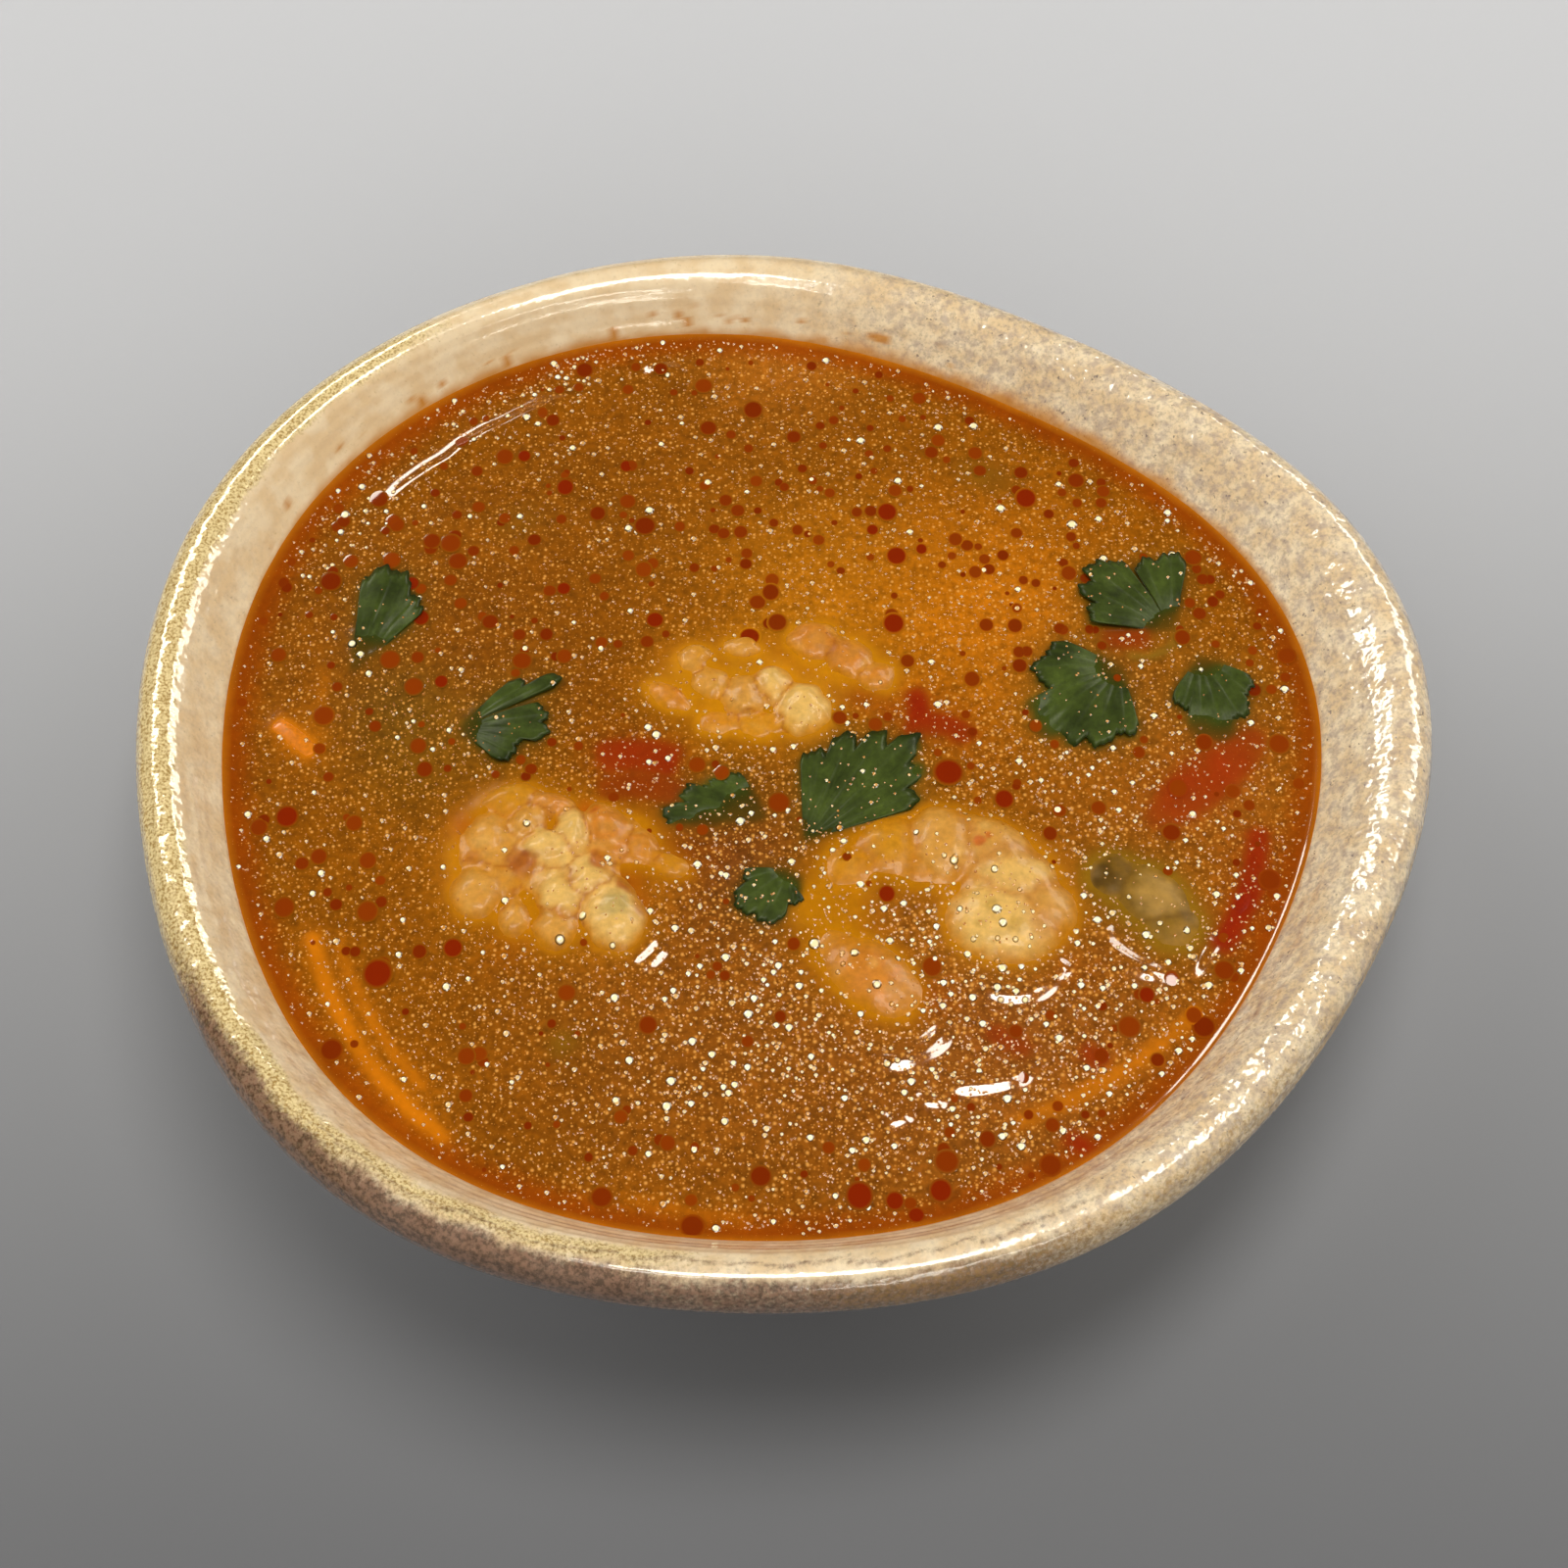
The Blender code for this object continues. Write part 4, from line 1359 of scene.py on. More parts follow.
LEAVES = (
    leaf(1, -70.2, 14.0, (74, 20.8, 4.3), (55, 17.2, 2.4), sinks_to=255, sunk=0.34),
    leaf(
        2,
        *(-52.2, 3.6),
        *((30, 18.0, 1.4), (37, 13.0, 2.0), (9, 14.2, 2.2)),
        *((-4, 14.3, 2.1), (-18, 10.4, 2.6), (-32, 10.6, 2.2)),
        lift=0.9,
        sinks_to=180,
        sunk=0.1,
        base=-0.1,
    ),
    leaf(
        3,
        *(-2.4, -13.5),
        *((132, 10.8, 2.2), (146, 12.2, 1.8), (160, 15.0, 2.0), (176, 17.0, 2.2)),
        lift=0.35,
        sinks_to=-60,
        sunk=0.5,
    ),
    leaf(
        4,
        *(3.0, -17.4),
        *((81, 16.6, 2.6), (69, 20.8, 2.2), (57, 23.4, 2.2)),
        *((46, 26.4, 2.2), (37, 23.4, 2.4), (26, 20.0, 2.6)),
        sinks_to=0,
        sunk=0.06,
        base=0.0,
    ),
    leaf(
        5,
        *(1.0, -22.1),
        *((-160, 7.6, 2.6), (-137, 11.0, 2.8), (-114, 10.6, 2.7), (-88, 6.8, 2.4), (-58, 4.8, 1.8)),
        sinks_to=45,
        sunk=0.15,
        base=0.1,
    ),
    leaf(
        6,
        *(63.9, 22.2),
        *((166, 14.4, 2.4), (151, 17.0, 2.0), (137, 18.4, 2.2)),
        *((127, 16.2, 1.8), (107, 14.2, 2.2), (88, 14.6, 2.4)),
        lift=1.0,
        sinks_to=-60,
        sunk=0.12,
    ),
    leaf(
        7,
        *(54.9, 15.4),
        *((169, 12.2, 2.4), (185, 14.6, 2.4), (199, 13.4, 1.8), (210, 18.2, 1.9)),
        *((222, 19.8, 2.3), (237, 17.8, 2.2), (252, 16.4, 2.4), (270, 13.8, 2.2)),
        lift=0.9,
        sinks_to=215,
        sunk=0.22,
    ),
    leaf(
        8,
        *(67.9, 17.5),
        *((-108, 11.2, 2.4), (-93, 16.2, 2.4), (-80, 17.0, 2.2), (-65, 13.8, 2.6), (-46, 10.6, 2.6)),
        sinks_to=-95,
        sunk=0.3,
    ),
)


def carrot(node: str, *place: float, top: float = 0.3) -> CutStrip:
    """A carrot strip bent round (x, y) at a radius, with its width, depth, first and last degrees."""
    return CutStrip(node, *place, CARROT, "carrot", Tint.CARROT, CARROT_FILM, top=top)


def pepper(node: str, *place: float, top: float = 0.0, tint: Tint = Tint.PEPPER) -> CutStrip:
    """A red pepper strip, placed like a carrot strip."""
    return CutStrip(node, *place, PEPPER, "pepper", tint, PEPPER_FILM, top=top)


STRIPS = (
    carrot("carrot_strip_left", -100.0, -22.0, 32.0, 3.4, 2.4, 56, 39, top=0.35),
    carrot("carrot_strip_front_left", -15.0, -20.0, 59.5, 2.6, 2.4, 193, 234, top=-0.1),
    carrot("carrot_strip_front_right", 2.0, 15.0, 87.0, 2.8, 2.4, 292, 315, top=-0.45),
    pepper("pepper_strip", 36.0, -13.5, 38.6, 4.2, 1.9, 323, 358, top=0.0),
    pepper("pepper_bit", 24.6, -1.0, 5.2, 4.4, 1.6, 20, 115, top=-0.1),
    pepper("pepper_slice", -24.0, -25.6, 24.0, 6.4, 1.8, 72, 104, top=-0.15, tint=Tint.TOMATO),
)
SUNKEN_STRIPS = (
    pepper("sunken_pepper_centre", 14.5, 6.5, 7.4, 4.2, 2.0, -40, 35, top=-0.15),
    pepper("sunken_pepper_left", -24.0, -27.5, 20.0, 5.0, 2.0, 64, 106, top=-0.5),
    carrot("sunken_carrot_front", 2.0, 15.0, 96.0, 2.4, 2.0, 254, 266, top=-1.2),
    carrot("sunken_carrot_far_left", -20.0, 10.0, 55.0, 2.4, 2.0, 175, 188, top=-1.3),
    carrot("sunken_carrot_front_left", -15.0, -20.0, 55.5, 1.8, 2.0, 196, 226, top=-0.5),
    pepper("sunken_pepper_leaves", 56.0, 2.0, 19.0, 5.0, 2.0, 78, 102, top=-0.5),
    pepper("sunken_pepper_prawn", 20.0, -76.0, 28.0, 3.4, 2.0, 52, 68, top=-0.4),
    pepper("sunken_pepper_right", 43.0, -58.0, 5.0, 3.6, 2.0, 20, 70, top=-0.2),
    pepper("sunken_pepper_front", 40.0, -74.0, 6.6, 3.0, 2.0, 35, 75, top=-0.15),
    CutStrip(
        "sunken_coriander_stem",
        *(58.3, 24.2, 7.1, 1.3, 1.2, 252, 347),
        LEAF,
        "coriander",
        Tint.STEM,
        STEM_FILM,
        top=-0.2,
    ),
)
SUNKEN_MUSHROOMS = (
    ("sunken_mushroom_front", (Lobe(-33.4, -52.4, -0.3, 4.6, 3.4, 3.0, 20, Tint.DARK_OLIVE),)),
    ("sunken_mushroom_far", (Lobe(34.0, 53.2, -0.5, 8.4, 4.6, 3.0, -25, Tint.OLIVE),)),
    ("sunken_mushroom_far_left", (Lobe(-44.3, 44.1, -0.8, 7.4, 4.6, 3.0, 15, Tint.OLIVE),)),
)


# --- what shows through the broth ---


@dataclass
class Shallows:
    """A map of what lies under the broth's surface: how it tints the broth, and where it lifts it."""

    half_mm: float = 96.0
    cell_mm: float = 0.5
    waterline: list[Vector] = field(default_factory=list)

    def __post_init__(self) -> None:
        """Starts with nothing under the broth."""
        count = round(2 * self.half_mm / self.cell_mm)
        self.shown = np.zeros((count, count))
        self.colour = np.zeros((count, count, 3))
        self.near = np.zeros((count, count))

    def add(self, item: bpy.types.Object, film: Film, swells: bool = False) -> None:
        """Adds a piece to the map.

        Args:
            item: the piece, in place.
            film: how the broth hides it.
            swells: whether the broth stands higher over and round it.
        """
        tree = BVHTree.FromObject(item, bpy.context.evaluated_depsgraph_get())
        places = vertex_places(item.data)
        tones = vertex_tones(item.data)
        low = np.floor((places.min(axis=0)[:2] / MM + self.half_mm) / self.cell_mm).astype(int)
        high = np.ceil((places.max(axis=0)[:2] / MM + self.half_mm) / self.cell_mm).astype(int)
        top = Vector((0, 0, OVER_ALL))
        for column in range(low[0], high[0] + 1):
            for line in range(low[1], high[1] + 1):
                top.x = ((column + 0.5) * self.cell_mm - self.half_mm) * MM
                top.y = ((line + 0.5) * self.cell_mm - self.half_mm) * MM
                hit, _, face, _ = tree.ray_cast(top, -UP)
                if hit is None:
                    continue
                height = (hit.z - LEVEL) / MM
                share = math.exp(min(height, 0.0) / film.fade)
                if share > self.shown[line, column]:
                    corner = item.data.polygons[face].vertices[0]
                    self.shown[line, column] = share
                    bare = height > 0 and swells
                    self.colour[line, column] = linear(film.shallow)[:3] if bare else tones[corner, :3]
                if swells and height > -0.4:
                    self.near[line, column] = 1.0
        if not swells:
            self.trace(item)

    def trace(self, item: bpy.types.Object) -> None:
        """Notes the line where the broth's surface meets a piece.

        Args:
            item: the piece, in place.
        """
        bm = bmesh.new()
        bm.from_mesh(item.data)
        parts = bm.verts[:] + bm.edges[:] + bm.faces[:]
        cut = bmesh.ops.bisect_plane(bm, geom=parts, plane_co=(0, 0, LEVEL), plane_no=UP)
        for part in cut["geom_cut"]:
            if isinstance(part, bmesh.types.BMEdge):
                start, end = (corner.co for corner in part.verts)
                self.waterline.extend((start.copy(), (start + end) / 2))
        bm.free()

    def blurred(self, values: np.ndarray, size_mm: float) -> np.ndarray:
        """Spreads a map's values as the cloudy broth spreads light.

        Args:
            values: a value for each of the map's cells.
            size_mm: how far a value spreads.

        Returns:
            The spread values.
        """
        cells = size_mm / self.cell_mm
        reach = math.ceil(2.5 * cells)
        bell = np.exp(-0.5 * (np.arange(-reach, reach + 1) / cells) ** 2)
        bell /= bell.sum()
        for axis in (0, 1):
            values = np.apply_along_axis(lambda row: np.convolve(row, bell, mode="same"), axis, values)
        return values

    def look_up(self, grid: np.ndarray, places: np.ndarray) -> np.ndarray:
        """Reads a map at places in metres, between its cells.

        Args:
            grid: the map.
            places: the places, one a row.

        Returns:
            A value for each place.
        """
        across = places[:, :2] / MM / self.cell_mm + self.half_mm / self.cell_mm - 0.5
        across = np.clip(across, 0, len(grid) - 1.001)
        base = across.astype(int)
        part = across - base
        x, y = base[:, 0], base[:, 1]
        u, v = part[:, 0], part[:, 1]
        if grid.ndim == 3:
            u, v = u[:, None], v[:, None]
        near = grid[y, x] * (1 - u) + grid[y, x + 1] * u
        far = grid[y + 1, x] * (1 - u) + grid[y + 1, x + 1] * u
        return near * (1 - v) + far * v

    def tint(self, places: np.ndarray) -> tuple[np.ndarray, np.ndarray]:
        """The colour that shows through at each place, and how strongly.

        Args:
            places: places on the surface, in metres.

        Returns:
            Linear colours, and shares from 0 to 1.
        """
        total = np.zeros(len(places))
        colour = np.zeros((len(places), 3))
        seen = self.colour * self.shown[:, :, None]
        for size, strength in ((0.45, 1.0), (3.0, 0.7)):
            share = self.look_up(self.blurred(self.shown, size), places)
            mixed = np.stack([self.blurred(seen[:, :, part], size) for part in range(3)], axis=2)
            part = strength * share * (1 - total)
            colour += part[:, None] * self.look_up(mixed, places) / np.maximum(share, 1e-6)[:, None]
            total += part
        return colour / np.maximum(total, 1e-6)[:, None], np.clip(total, 0, 1)

    def line_tree(self) -> KDTree:
        """The waterline's points, ready to be searched.

        Returns:
            The tree, flat at height 0.
        """
        tree = KDTree(len(self.waterline))
        for number, point in enumerate(self.waterline):
            tree.insert((point.x, point.y, 0), number)
        tree.balance()
        return tree


@dataclass(frozen=True)
class Ridge:
    """A low ridge in the oily surface that catches the light: its middle, length, turn, bend, rise and width.

    Sizes are in mm, and its turn is in degrees.
    """

    x: float
    y: float
    length: float
    degrees: float
    bend: float = 0.0
    rise: float = 0.8
    width: float = 1.7

    def height(self, places: np.ndarray) -> np.ndarray:
        """The ridge's height in mm at places in metres.

        Args:
            places: the places, one a row.

        Returns:
            One height for each place.
        """
        turn = math.radians(self.degrees)
        off = places[:, :2] / MM - [self.x, self.y]
        along = (off[:, 0] * math.cos(turn) + off[:, 1] * math.sin(turn)) / (self.length / 2)
        across = off[:, 1] * math.cos(turn) - off[:, 0] * math.sin(turn) - self.bend * along**2
        return self.rise * np.exp(-((across / self.width) ** 2)) * ramp(1.9, 0.7, np.abs(along))


@dataclass
class Broth:
    """The broth's body: a surface that climbs the wall and the pieces, over a plain underside."""

    shallows: Shallows
    steps: int = 540
    spacing: float = 0.64
    climb: float = 0.2
    climb_reach: float = 1.1
    swell: float = 0.5
    swell_reach: float = 1.9
    wall_climb: float = 0.8
    wall_reach: float = 1.6
    wall_slope: float = (87.8 - 85.3) / (54.0 - 50.5)
    into_wall: float = 0.35
    tone: str = "#864b04"
    edge_tone: str = "#923e00"
    line_tone: str = "#c87a12"
    patches: tuple[Mark, ...] = (
        Mark(-50, 20, 26, "#7c440a", 0.6),
        Mark(-10, 55, 40, "#844a0a", 0.5),
        Mark(30, -50, 34, "#8a4e1a", 0.7),
        Mark(-15, -50, 30, "#844a14", 0.5),
        Mark(35, 25, 23, "#c8720a", 0.75),
        Mark(5, 30, 18, "#b8700c", 0.6),
        Mark(0, 82, 13, "#b86c1c", 0.7),
        Mark(66, -8, 16, "#9c5a18", 0.6),
        Mark(60, 0, 18, "#92520c", 0.5),
        Mark(-8, -22, 10, "#703814", 0.7),
        Mark(50, 12, 12, "#7a4a10", 0.6),
        Mark(-62, 8, 9, "#5f4512", 0.6),
        Mark(-58, -2, 12, "#74500c", 0.5),
    )
    stains: tuple[Mark, ...] = (
        Mark(-40.6, -21.6, 2.6, "#8e3802", 0.9),
        Mark(-31.0, -12.0, 1.8, "#a44206", 0.7),
        Mark(-24.6, -25.2, 2.6, "#964004", 0.75),
        Mark(-22.6, -28.6, 2.2, "#8e3e04", 0.6),
        Mark(-15.5, -19.5, 4.5, "#7c3406", 0.6),
        Mark(-50.6, -14.8, 2.2, "#a24a04", 0.6),
        Mark(-28.6, -21.6, 1.8, "#a04806", 0.6),
        Mark(-42.4, -36.6, 3.6, "#9c5206", 0.5),
        Mark(12.6, 9.0, 3.0, "#8e3c06", 0.6),
        Mark(17.0, 6.6, 2.4, "#8a3606", 0.5),
        Mark(44.0, -40.6, 4.0, "#8e4a08", 0.6),
        Mark(23.0, -44.6, 3.6, "#8c3e08", 0.6),
    )
    ridges: tuple[Ridge, ...] = (
        Ridge(34.7, -43.9, 9.4, -2, 1.2),
        Ridge(20.6, -53.6, 9.0, 31, 0.8),
        Ridge(30.6, -58.7, 9.4, 9, 0.4),
        Ridge(52.6, -38.6, 9.0, -33, 0.7),
        Ridge(64.0, -37.4, 5.0, 62, 0.0, 0.56, 1.2),
        Ridge(48.6, -33.6, 3.6, 10, 0.2, 0.56, 1.2),
        Ridge(-20.2, -37.8, 4.6, 48, 0.2, 0.6, 1.4),
        Ridge(42.4, -39.3, 2.2, -30, 0.0, 0.54, 1.1),
        Ridge(22.0, -61.6, 3.0, -10, 0.0, 0.56, 1.2),
        Ridge(17.0, -64.5, 3.0, 20, 0.0, 0.56, 1.2),
        Ridge(9.5, -20.6, 2.6, 40, 0.0, 0.54, 1.1),
        Ridge(-61.6, 52.6, 10.0, 42, -0.3, 0.46, 1.4),
        Ridge(-52.5, 60.5, 9.0, 39, -0.3, 0.46, 1.4),
        Ridge(-42.0, 67.2, 10.0, 27, -0.4, 0.46, 1.4),
        Ridge(-20.5, 75.4, 4.0, 4, 0.0, 0.6, 1.3),
    )
    under: ClassVar[tuple] = (
        (81.3, 44.0, 0.0, 1.0),
        (74.8, 36.0, 0.0, 0.9),
        (65.8, 28.0, 0.0, 0.7),
        (54.3, 20.6, 0.0, 0.5),
        (40.2, 14.4, 0.0, 0.3),
        (23.0, 11.2, 0.0, 0.1),
        (0.0, 10.3, 0.0, 0.0),
    )

    def __post_init__(self) -> None:
        """Gets the waterline and the swell over the pieces ready."""
        self.line = self.shallows.line_tree()
        self.swelling = self.shallows.blurred(self.shallows.near, self.swell_reach)

    def rise(self, places: np.ndarray) -> np.ndarray:
        """How far the surface stands over the broth's level away from the wall, in mm.

        Args:
            places: places on the surface, in metres.

        Returns:
            One height for each place.
        """
        away = np.array([self.line.find((x, y, 0))[2] for x, y in places[:, :2]]) / MM
        lifted = self.climb * np.exp(-away / self.climb_reach)
        lifted += self.swell * self.shallows.look_up(self.swelling, places)
        lifted += 0.035 * wander(places, 0.006, 51.0) + 0.02 * wander(places, 0.0025, 52.0)
        for ridge in self.ridges:
            lifted += ridge.height(places)
        return lifted

    def build(self) -> bpy.types.Object:
        """Makes the broth's closed body and paints its surface.

        Returns:
            The broth's object.
        """
        level = LEVEL / MM
        contact = BROTH_LINE.radius + self.wall_climb * self.wall_slope
        radii = np.append(np.arange(0, contact - 0.2, self.spacing), contact)
        off = contact - radii
        heights = level + self.wall_climb * np.exp(-off / self.wall_reach)
        shares = (radii / contact) ** 2
        surface = np.column_stack([radii, heights, np.zeros_like(radii), shares])
        lip = [(contact + self.into_wall, level + self.wall_climb, 0.0, 1.0)]
        rows = np.vstack([surface, lip, np.array(self.under)])
        mesh, row, _ = turned("broth", rows, self.steps)
        places = vertex_places(mesh)
        top = row < len(radii)
        places[top, 2] += self.rise(places[top]) * MM
        move_vertices(mesh, places)
        radius = np.interp(row, np.arange(len(rows)), rows[:, 0])
        self.colour(mesh, places, np.where(top, contact - radius, 0))
        return add_object("broth_surface", mesh)

    def colour(self, mesh: bpy.types.Mesh, places: np.ndarray, from_wall: np.ndarray) -> None:
        """Paints the broth's clouds, its redder edge and what shows through it.

        Args:
            mesh: the broth's mesh.
            places: its vertices.
            from_wall: how far each vertex lies from the wall, in mm.
        """
        body = np.tile(linear(self.tone)[:3], (len(places), 1))
        body = self.marked(body, places, self.patches)
        ragged = 0.8 * wander(places, 0.006, 61.0)
        body = blend(body, linear(self.edge_tone)[:3], 0.85 * ramp(6.5, 1.5, from_wall + ragged))
        body = blend(body, linear(self.line_tone)[:3], 0.55 * ramp(1.3, 0.0, from_wall + 0.3 * ragged))
        seen, share = self.shallows.tint(places)
        body = self.marked(blend(body, seen, share), places, self.stains)
        cloud = 1 + 0.1 * wander(places, 0.012, 63.0) + 0.1 * wander(places, 0.005, 64.0)
        crowded = ((places[:, 0] - 0.02) ** 2 + (places[:, 1] + 0.04) ** 2) / 0.05**2
        dense = 0.75 + 0.25 * np.exp(-crowded)
        dense *= (1 - 0.8 * ramp(5.0, 1.0, from_wall)) * (1 - 0.8 * ramp(0.1, 0.8, share))
        paint(mesh, "tone", np.column_stack([body * cloud[:, None], dense]))

    @staticmethod
    def marked(body: np.ndarray, places: np.ndarray, marks: Sequence[Mark]) -> np.ndarray:
        """The surface's colours with soft round marks laid over them.

        Args:
            body: the colours.
            places: where they lie, in metres.
            marks: the marks.

        Returns:
            The colours with the marks.
        """
        for mark in marks:
            share = mark.strength * np.exp(-(mark.off(places) ** 2))
            body = blend(body, linear(mark.colour)[:3], share)
        return body


# --- oil ---


@dataclass
class Spot:
    """A place on the open surface: where it is, its normal, its colour and the piece it belongs to."""

    place: Vector
    normal: Vector
    tone: np.ndarray
    piece: str


@dataclass
class Ground:
    """The open surface of the broth and the food, on which drops lie."""

    pieces: list[tuple[bpy.types.Object, BVHTree, np.ndarray, np.ndarray, np.ndarray]] = field(
        default_factory=list
    )

    def add(self, item: bpy.types.Object) -> None:
        """Adds a piece that drops may land on, with its box and its tones."""
        places = vertex_places(item.data)
        tree = BVHTree.FromObject(item, bpy.context.evaluated_depsgraph_get())
        self.pieces.append((item, tree, places.min(axis=0), places.max(axis=0), vertex_tones(item.data)))

    def under(self, x: float, y: float) -> Spot | None:
        """The topmost place under a point in metres.

        Args:
            x: its x.
            y: its y.

        Returns:
            The place, or None off the broth and the food.
        """
        best = None
        for item, tree, low, high, tones in self.pieces:
            if not (low[0] < x < high[0] and low[1] < y < high[1]):
                continue
            hit, normal, face, _ = tree.ray_cast(Vector((x, y, OVER_ALL)), -UP)
            if hit is not None and (best is None or hit.z > best.place.z):
                tone = tones[item.data.polygons[face].vertices[0]].copy()
                tone[3] = 1
                best = Spot(hit, normal, tone, item.name)
        return best


@dataclass
class Drop:
    """One drop: where it lies, its radius in metres, and its rim's and middle's colour."""

    spot: Spot
    radius: float
    rim: np.ndarray
    core: np.ndarray


@dataclass
class Drops:
    """Many small domes of oil joined in one mesh.

    Each keeps its middle's colour out to `core_ends` and has its rim's colour from `rim_starts`, as
    shares of its radius. `bow` is the slope at its rim in degrees.
    """

    name: str
    sides: int
    bow: float
    insets: tuple[float, ...]
    core_ends: float
    rim_starts: float
    lift: float = -0.03

    def dome(self) -> tuple[np.ndarray, list[tuple[int, ...]]]:
        """One shallow dome of radius 1 whose edge dips a little under the surface.

        Returns:
            Its vertices, and its faces as vertex numbers.
        """
        bm = bmesh.new()
        bmesh.ops.create_circle(bm, cap_ends=True, segments=self.sides, radius=1)
        for inset in self.insets:
            bmesh.ops.inset_individual(bm, faces=self.cap(bm), thickness=inset)
        bmesh.ops.poke(bm, faces=self.cap(bm))
        curve = 1 / math.sin(math.radians(self.bow))
        for corner in bm.verts:
            off = min(math.hypot(corner.co.x, corner.co.y), 1)
            corner.co.z = math.sqrt(curve**2 - off**2) - math.sqrt(curve**2 - 1) + self.lift
        bm.verts.index_update()
        places = np.array([tuple(corner.co) for corner in bm.verts])
        faces = [tuple(corner.index for corner in face.verts) for face in bm.faces]
        bm.free()
        return places, faces

    def cap(self, bm: bmesh.types.BMesh) -> list[bmesh.types.BMFace]:
        """The face with the most sides, which lies in the middle."""
        return [max(bm.faces, key=lambda face: len(face.verts))]

    @staticmethod
    def spread(drops: list[Drop], shape: np.ndarray, random: np.random.Generator) -> np.ndarray:
        """Copies the dome to every drop, turned to lie on its surface.

        Args:
            drops: the drops.
            shape: the dome's vertices.
            random: the source of each drop's slight oval.

        Returns:
            Each drop's vertices in metres.
        """
        total, count = len(drops), len(shape)
        normals = np.array([drop.spot.normal for drop in drops])
        across = np.cross(normals, [0.0, 1.0, 0.0])
        across /= np.linalg.norm(across, axis=1)[:, None]
        along = np.cross(normals, across)
        size = np.array([drop.radius for drop in drops])[:, None, None]
        oval = random.uniform(0.86, 1.0, (total, 1, 1))
        turn = random.uniform(0, math.pi, total)
        spun = np.empty((total, count, 2))
        spun[:, :, 0] = shape[None, :, 0] * np.cos(turn)[:, None] - shape[None, :, 1] * np.sin(turn)[:, None]
        spun[:, :, 1] = shape[None, :, 0] * np.sin(turn)[:, None] + shape[None, :, 1] * np.cos(turn)[:, None]
        places = spun[:, :, 0:1] * oval * across[:, None] + spun[:, :, 1:2] * along[:, None]
        places = (places + shape[None, :, 2:3] * normals[:, None]) * size
        places += np.array([drop.spot.place for drop in drops])[:, None]
        return places

    def build(self, drops: list[Drop], random: np.random.Generator) -> bpy.types.Object:
        """Joins a dome for every drop in one mesh and paints it.

        Args:
            drops: the drops.
            random: the source of each drop's slight oval.

        Returns:
            The joined object.
        """
        shape, faces = self.dome()
        total, count = len(drops), len(shape)
        places = self.spread(drops, shape, random)
        corners = [len(face) for face in faces]
        flat = np.concatenate([np.array(face) for face in faces])
        starts = np.concatenate([[0], np.cumsum(corners)[:-1]])
        mesh = bpy.data.meshes.new(self.name)
        mesh.vertices.add(total * count)
        mesh.vertices.foreach_set("co", places.astype(np.float32).ravel())
        mesh.loops.add(total * len(flat))
        loops = (flat[None] + np.arange(total)[:, None] * count).ravel()
        mesh.loops.foreach_set("vertex_index", loops.astype(np.int32))
        mesh.polygons.add(total * len(faces))
        begins = (starts[None] + np.arange(total)[:, None] * len(flat)).ravel()
        mesh.polygons.foreach_set("loop_start", begins.astype(np.int32))
        mesh.update(calc_edges=True)
        mesh.validate()
        off = ramp(self.core_ends, self.rim_starts, np.hypot(shape[:, 0], shape[:, 1]))[None, :, None]
        rims = np.array([drop.rim for drop in drops])[:, None]
        cores = np.array([drop.core for drop in drops])[:, None]
        paint(mesh, "tone", (rims * off + cores * (1 - off)).reshape(-1, 4))
        return add_object(self.name, mesh)


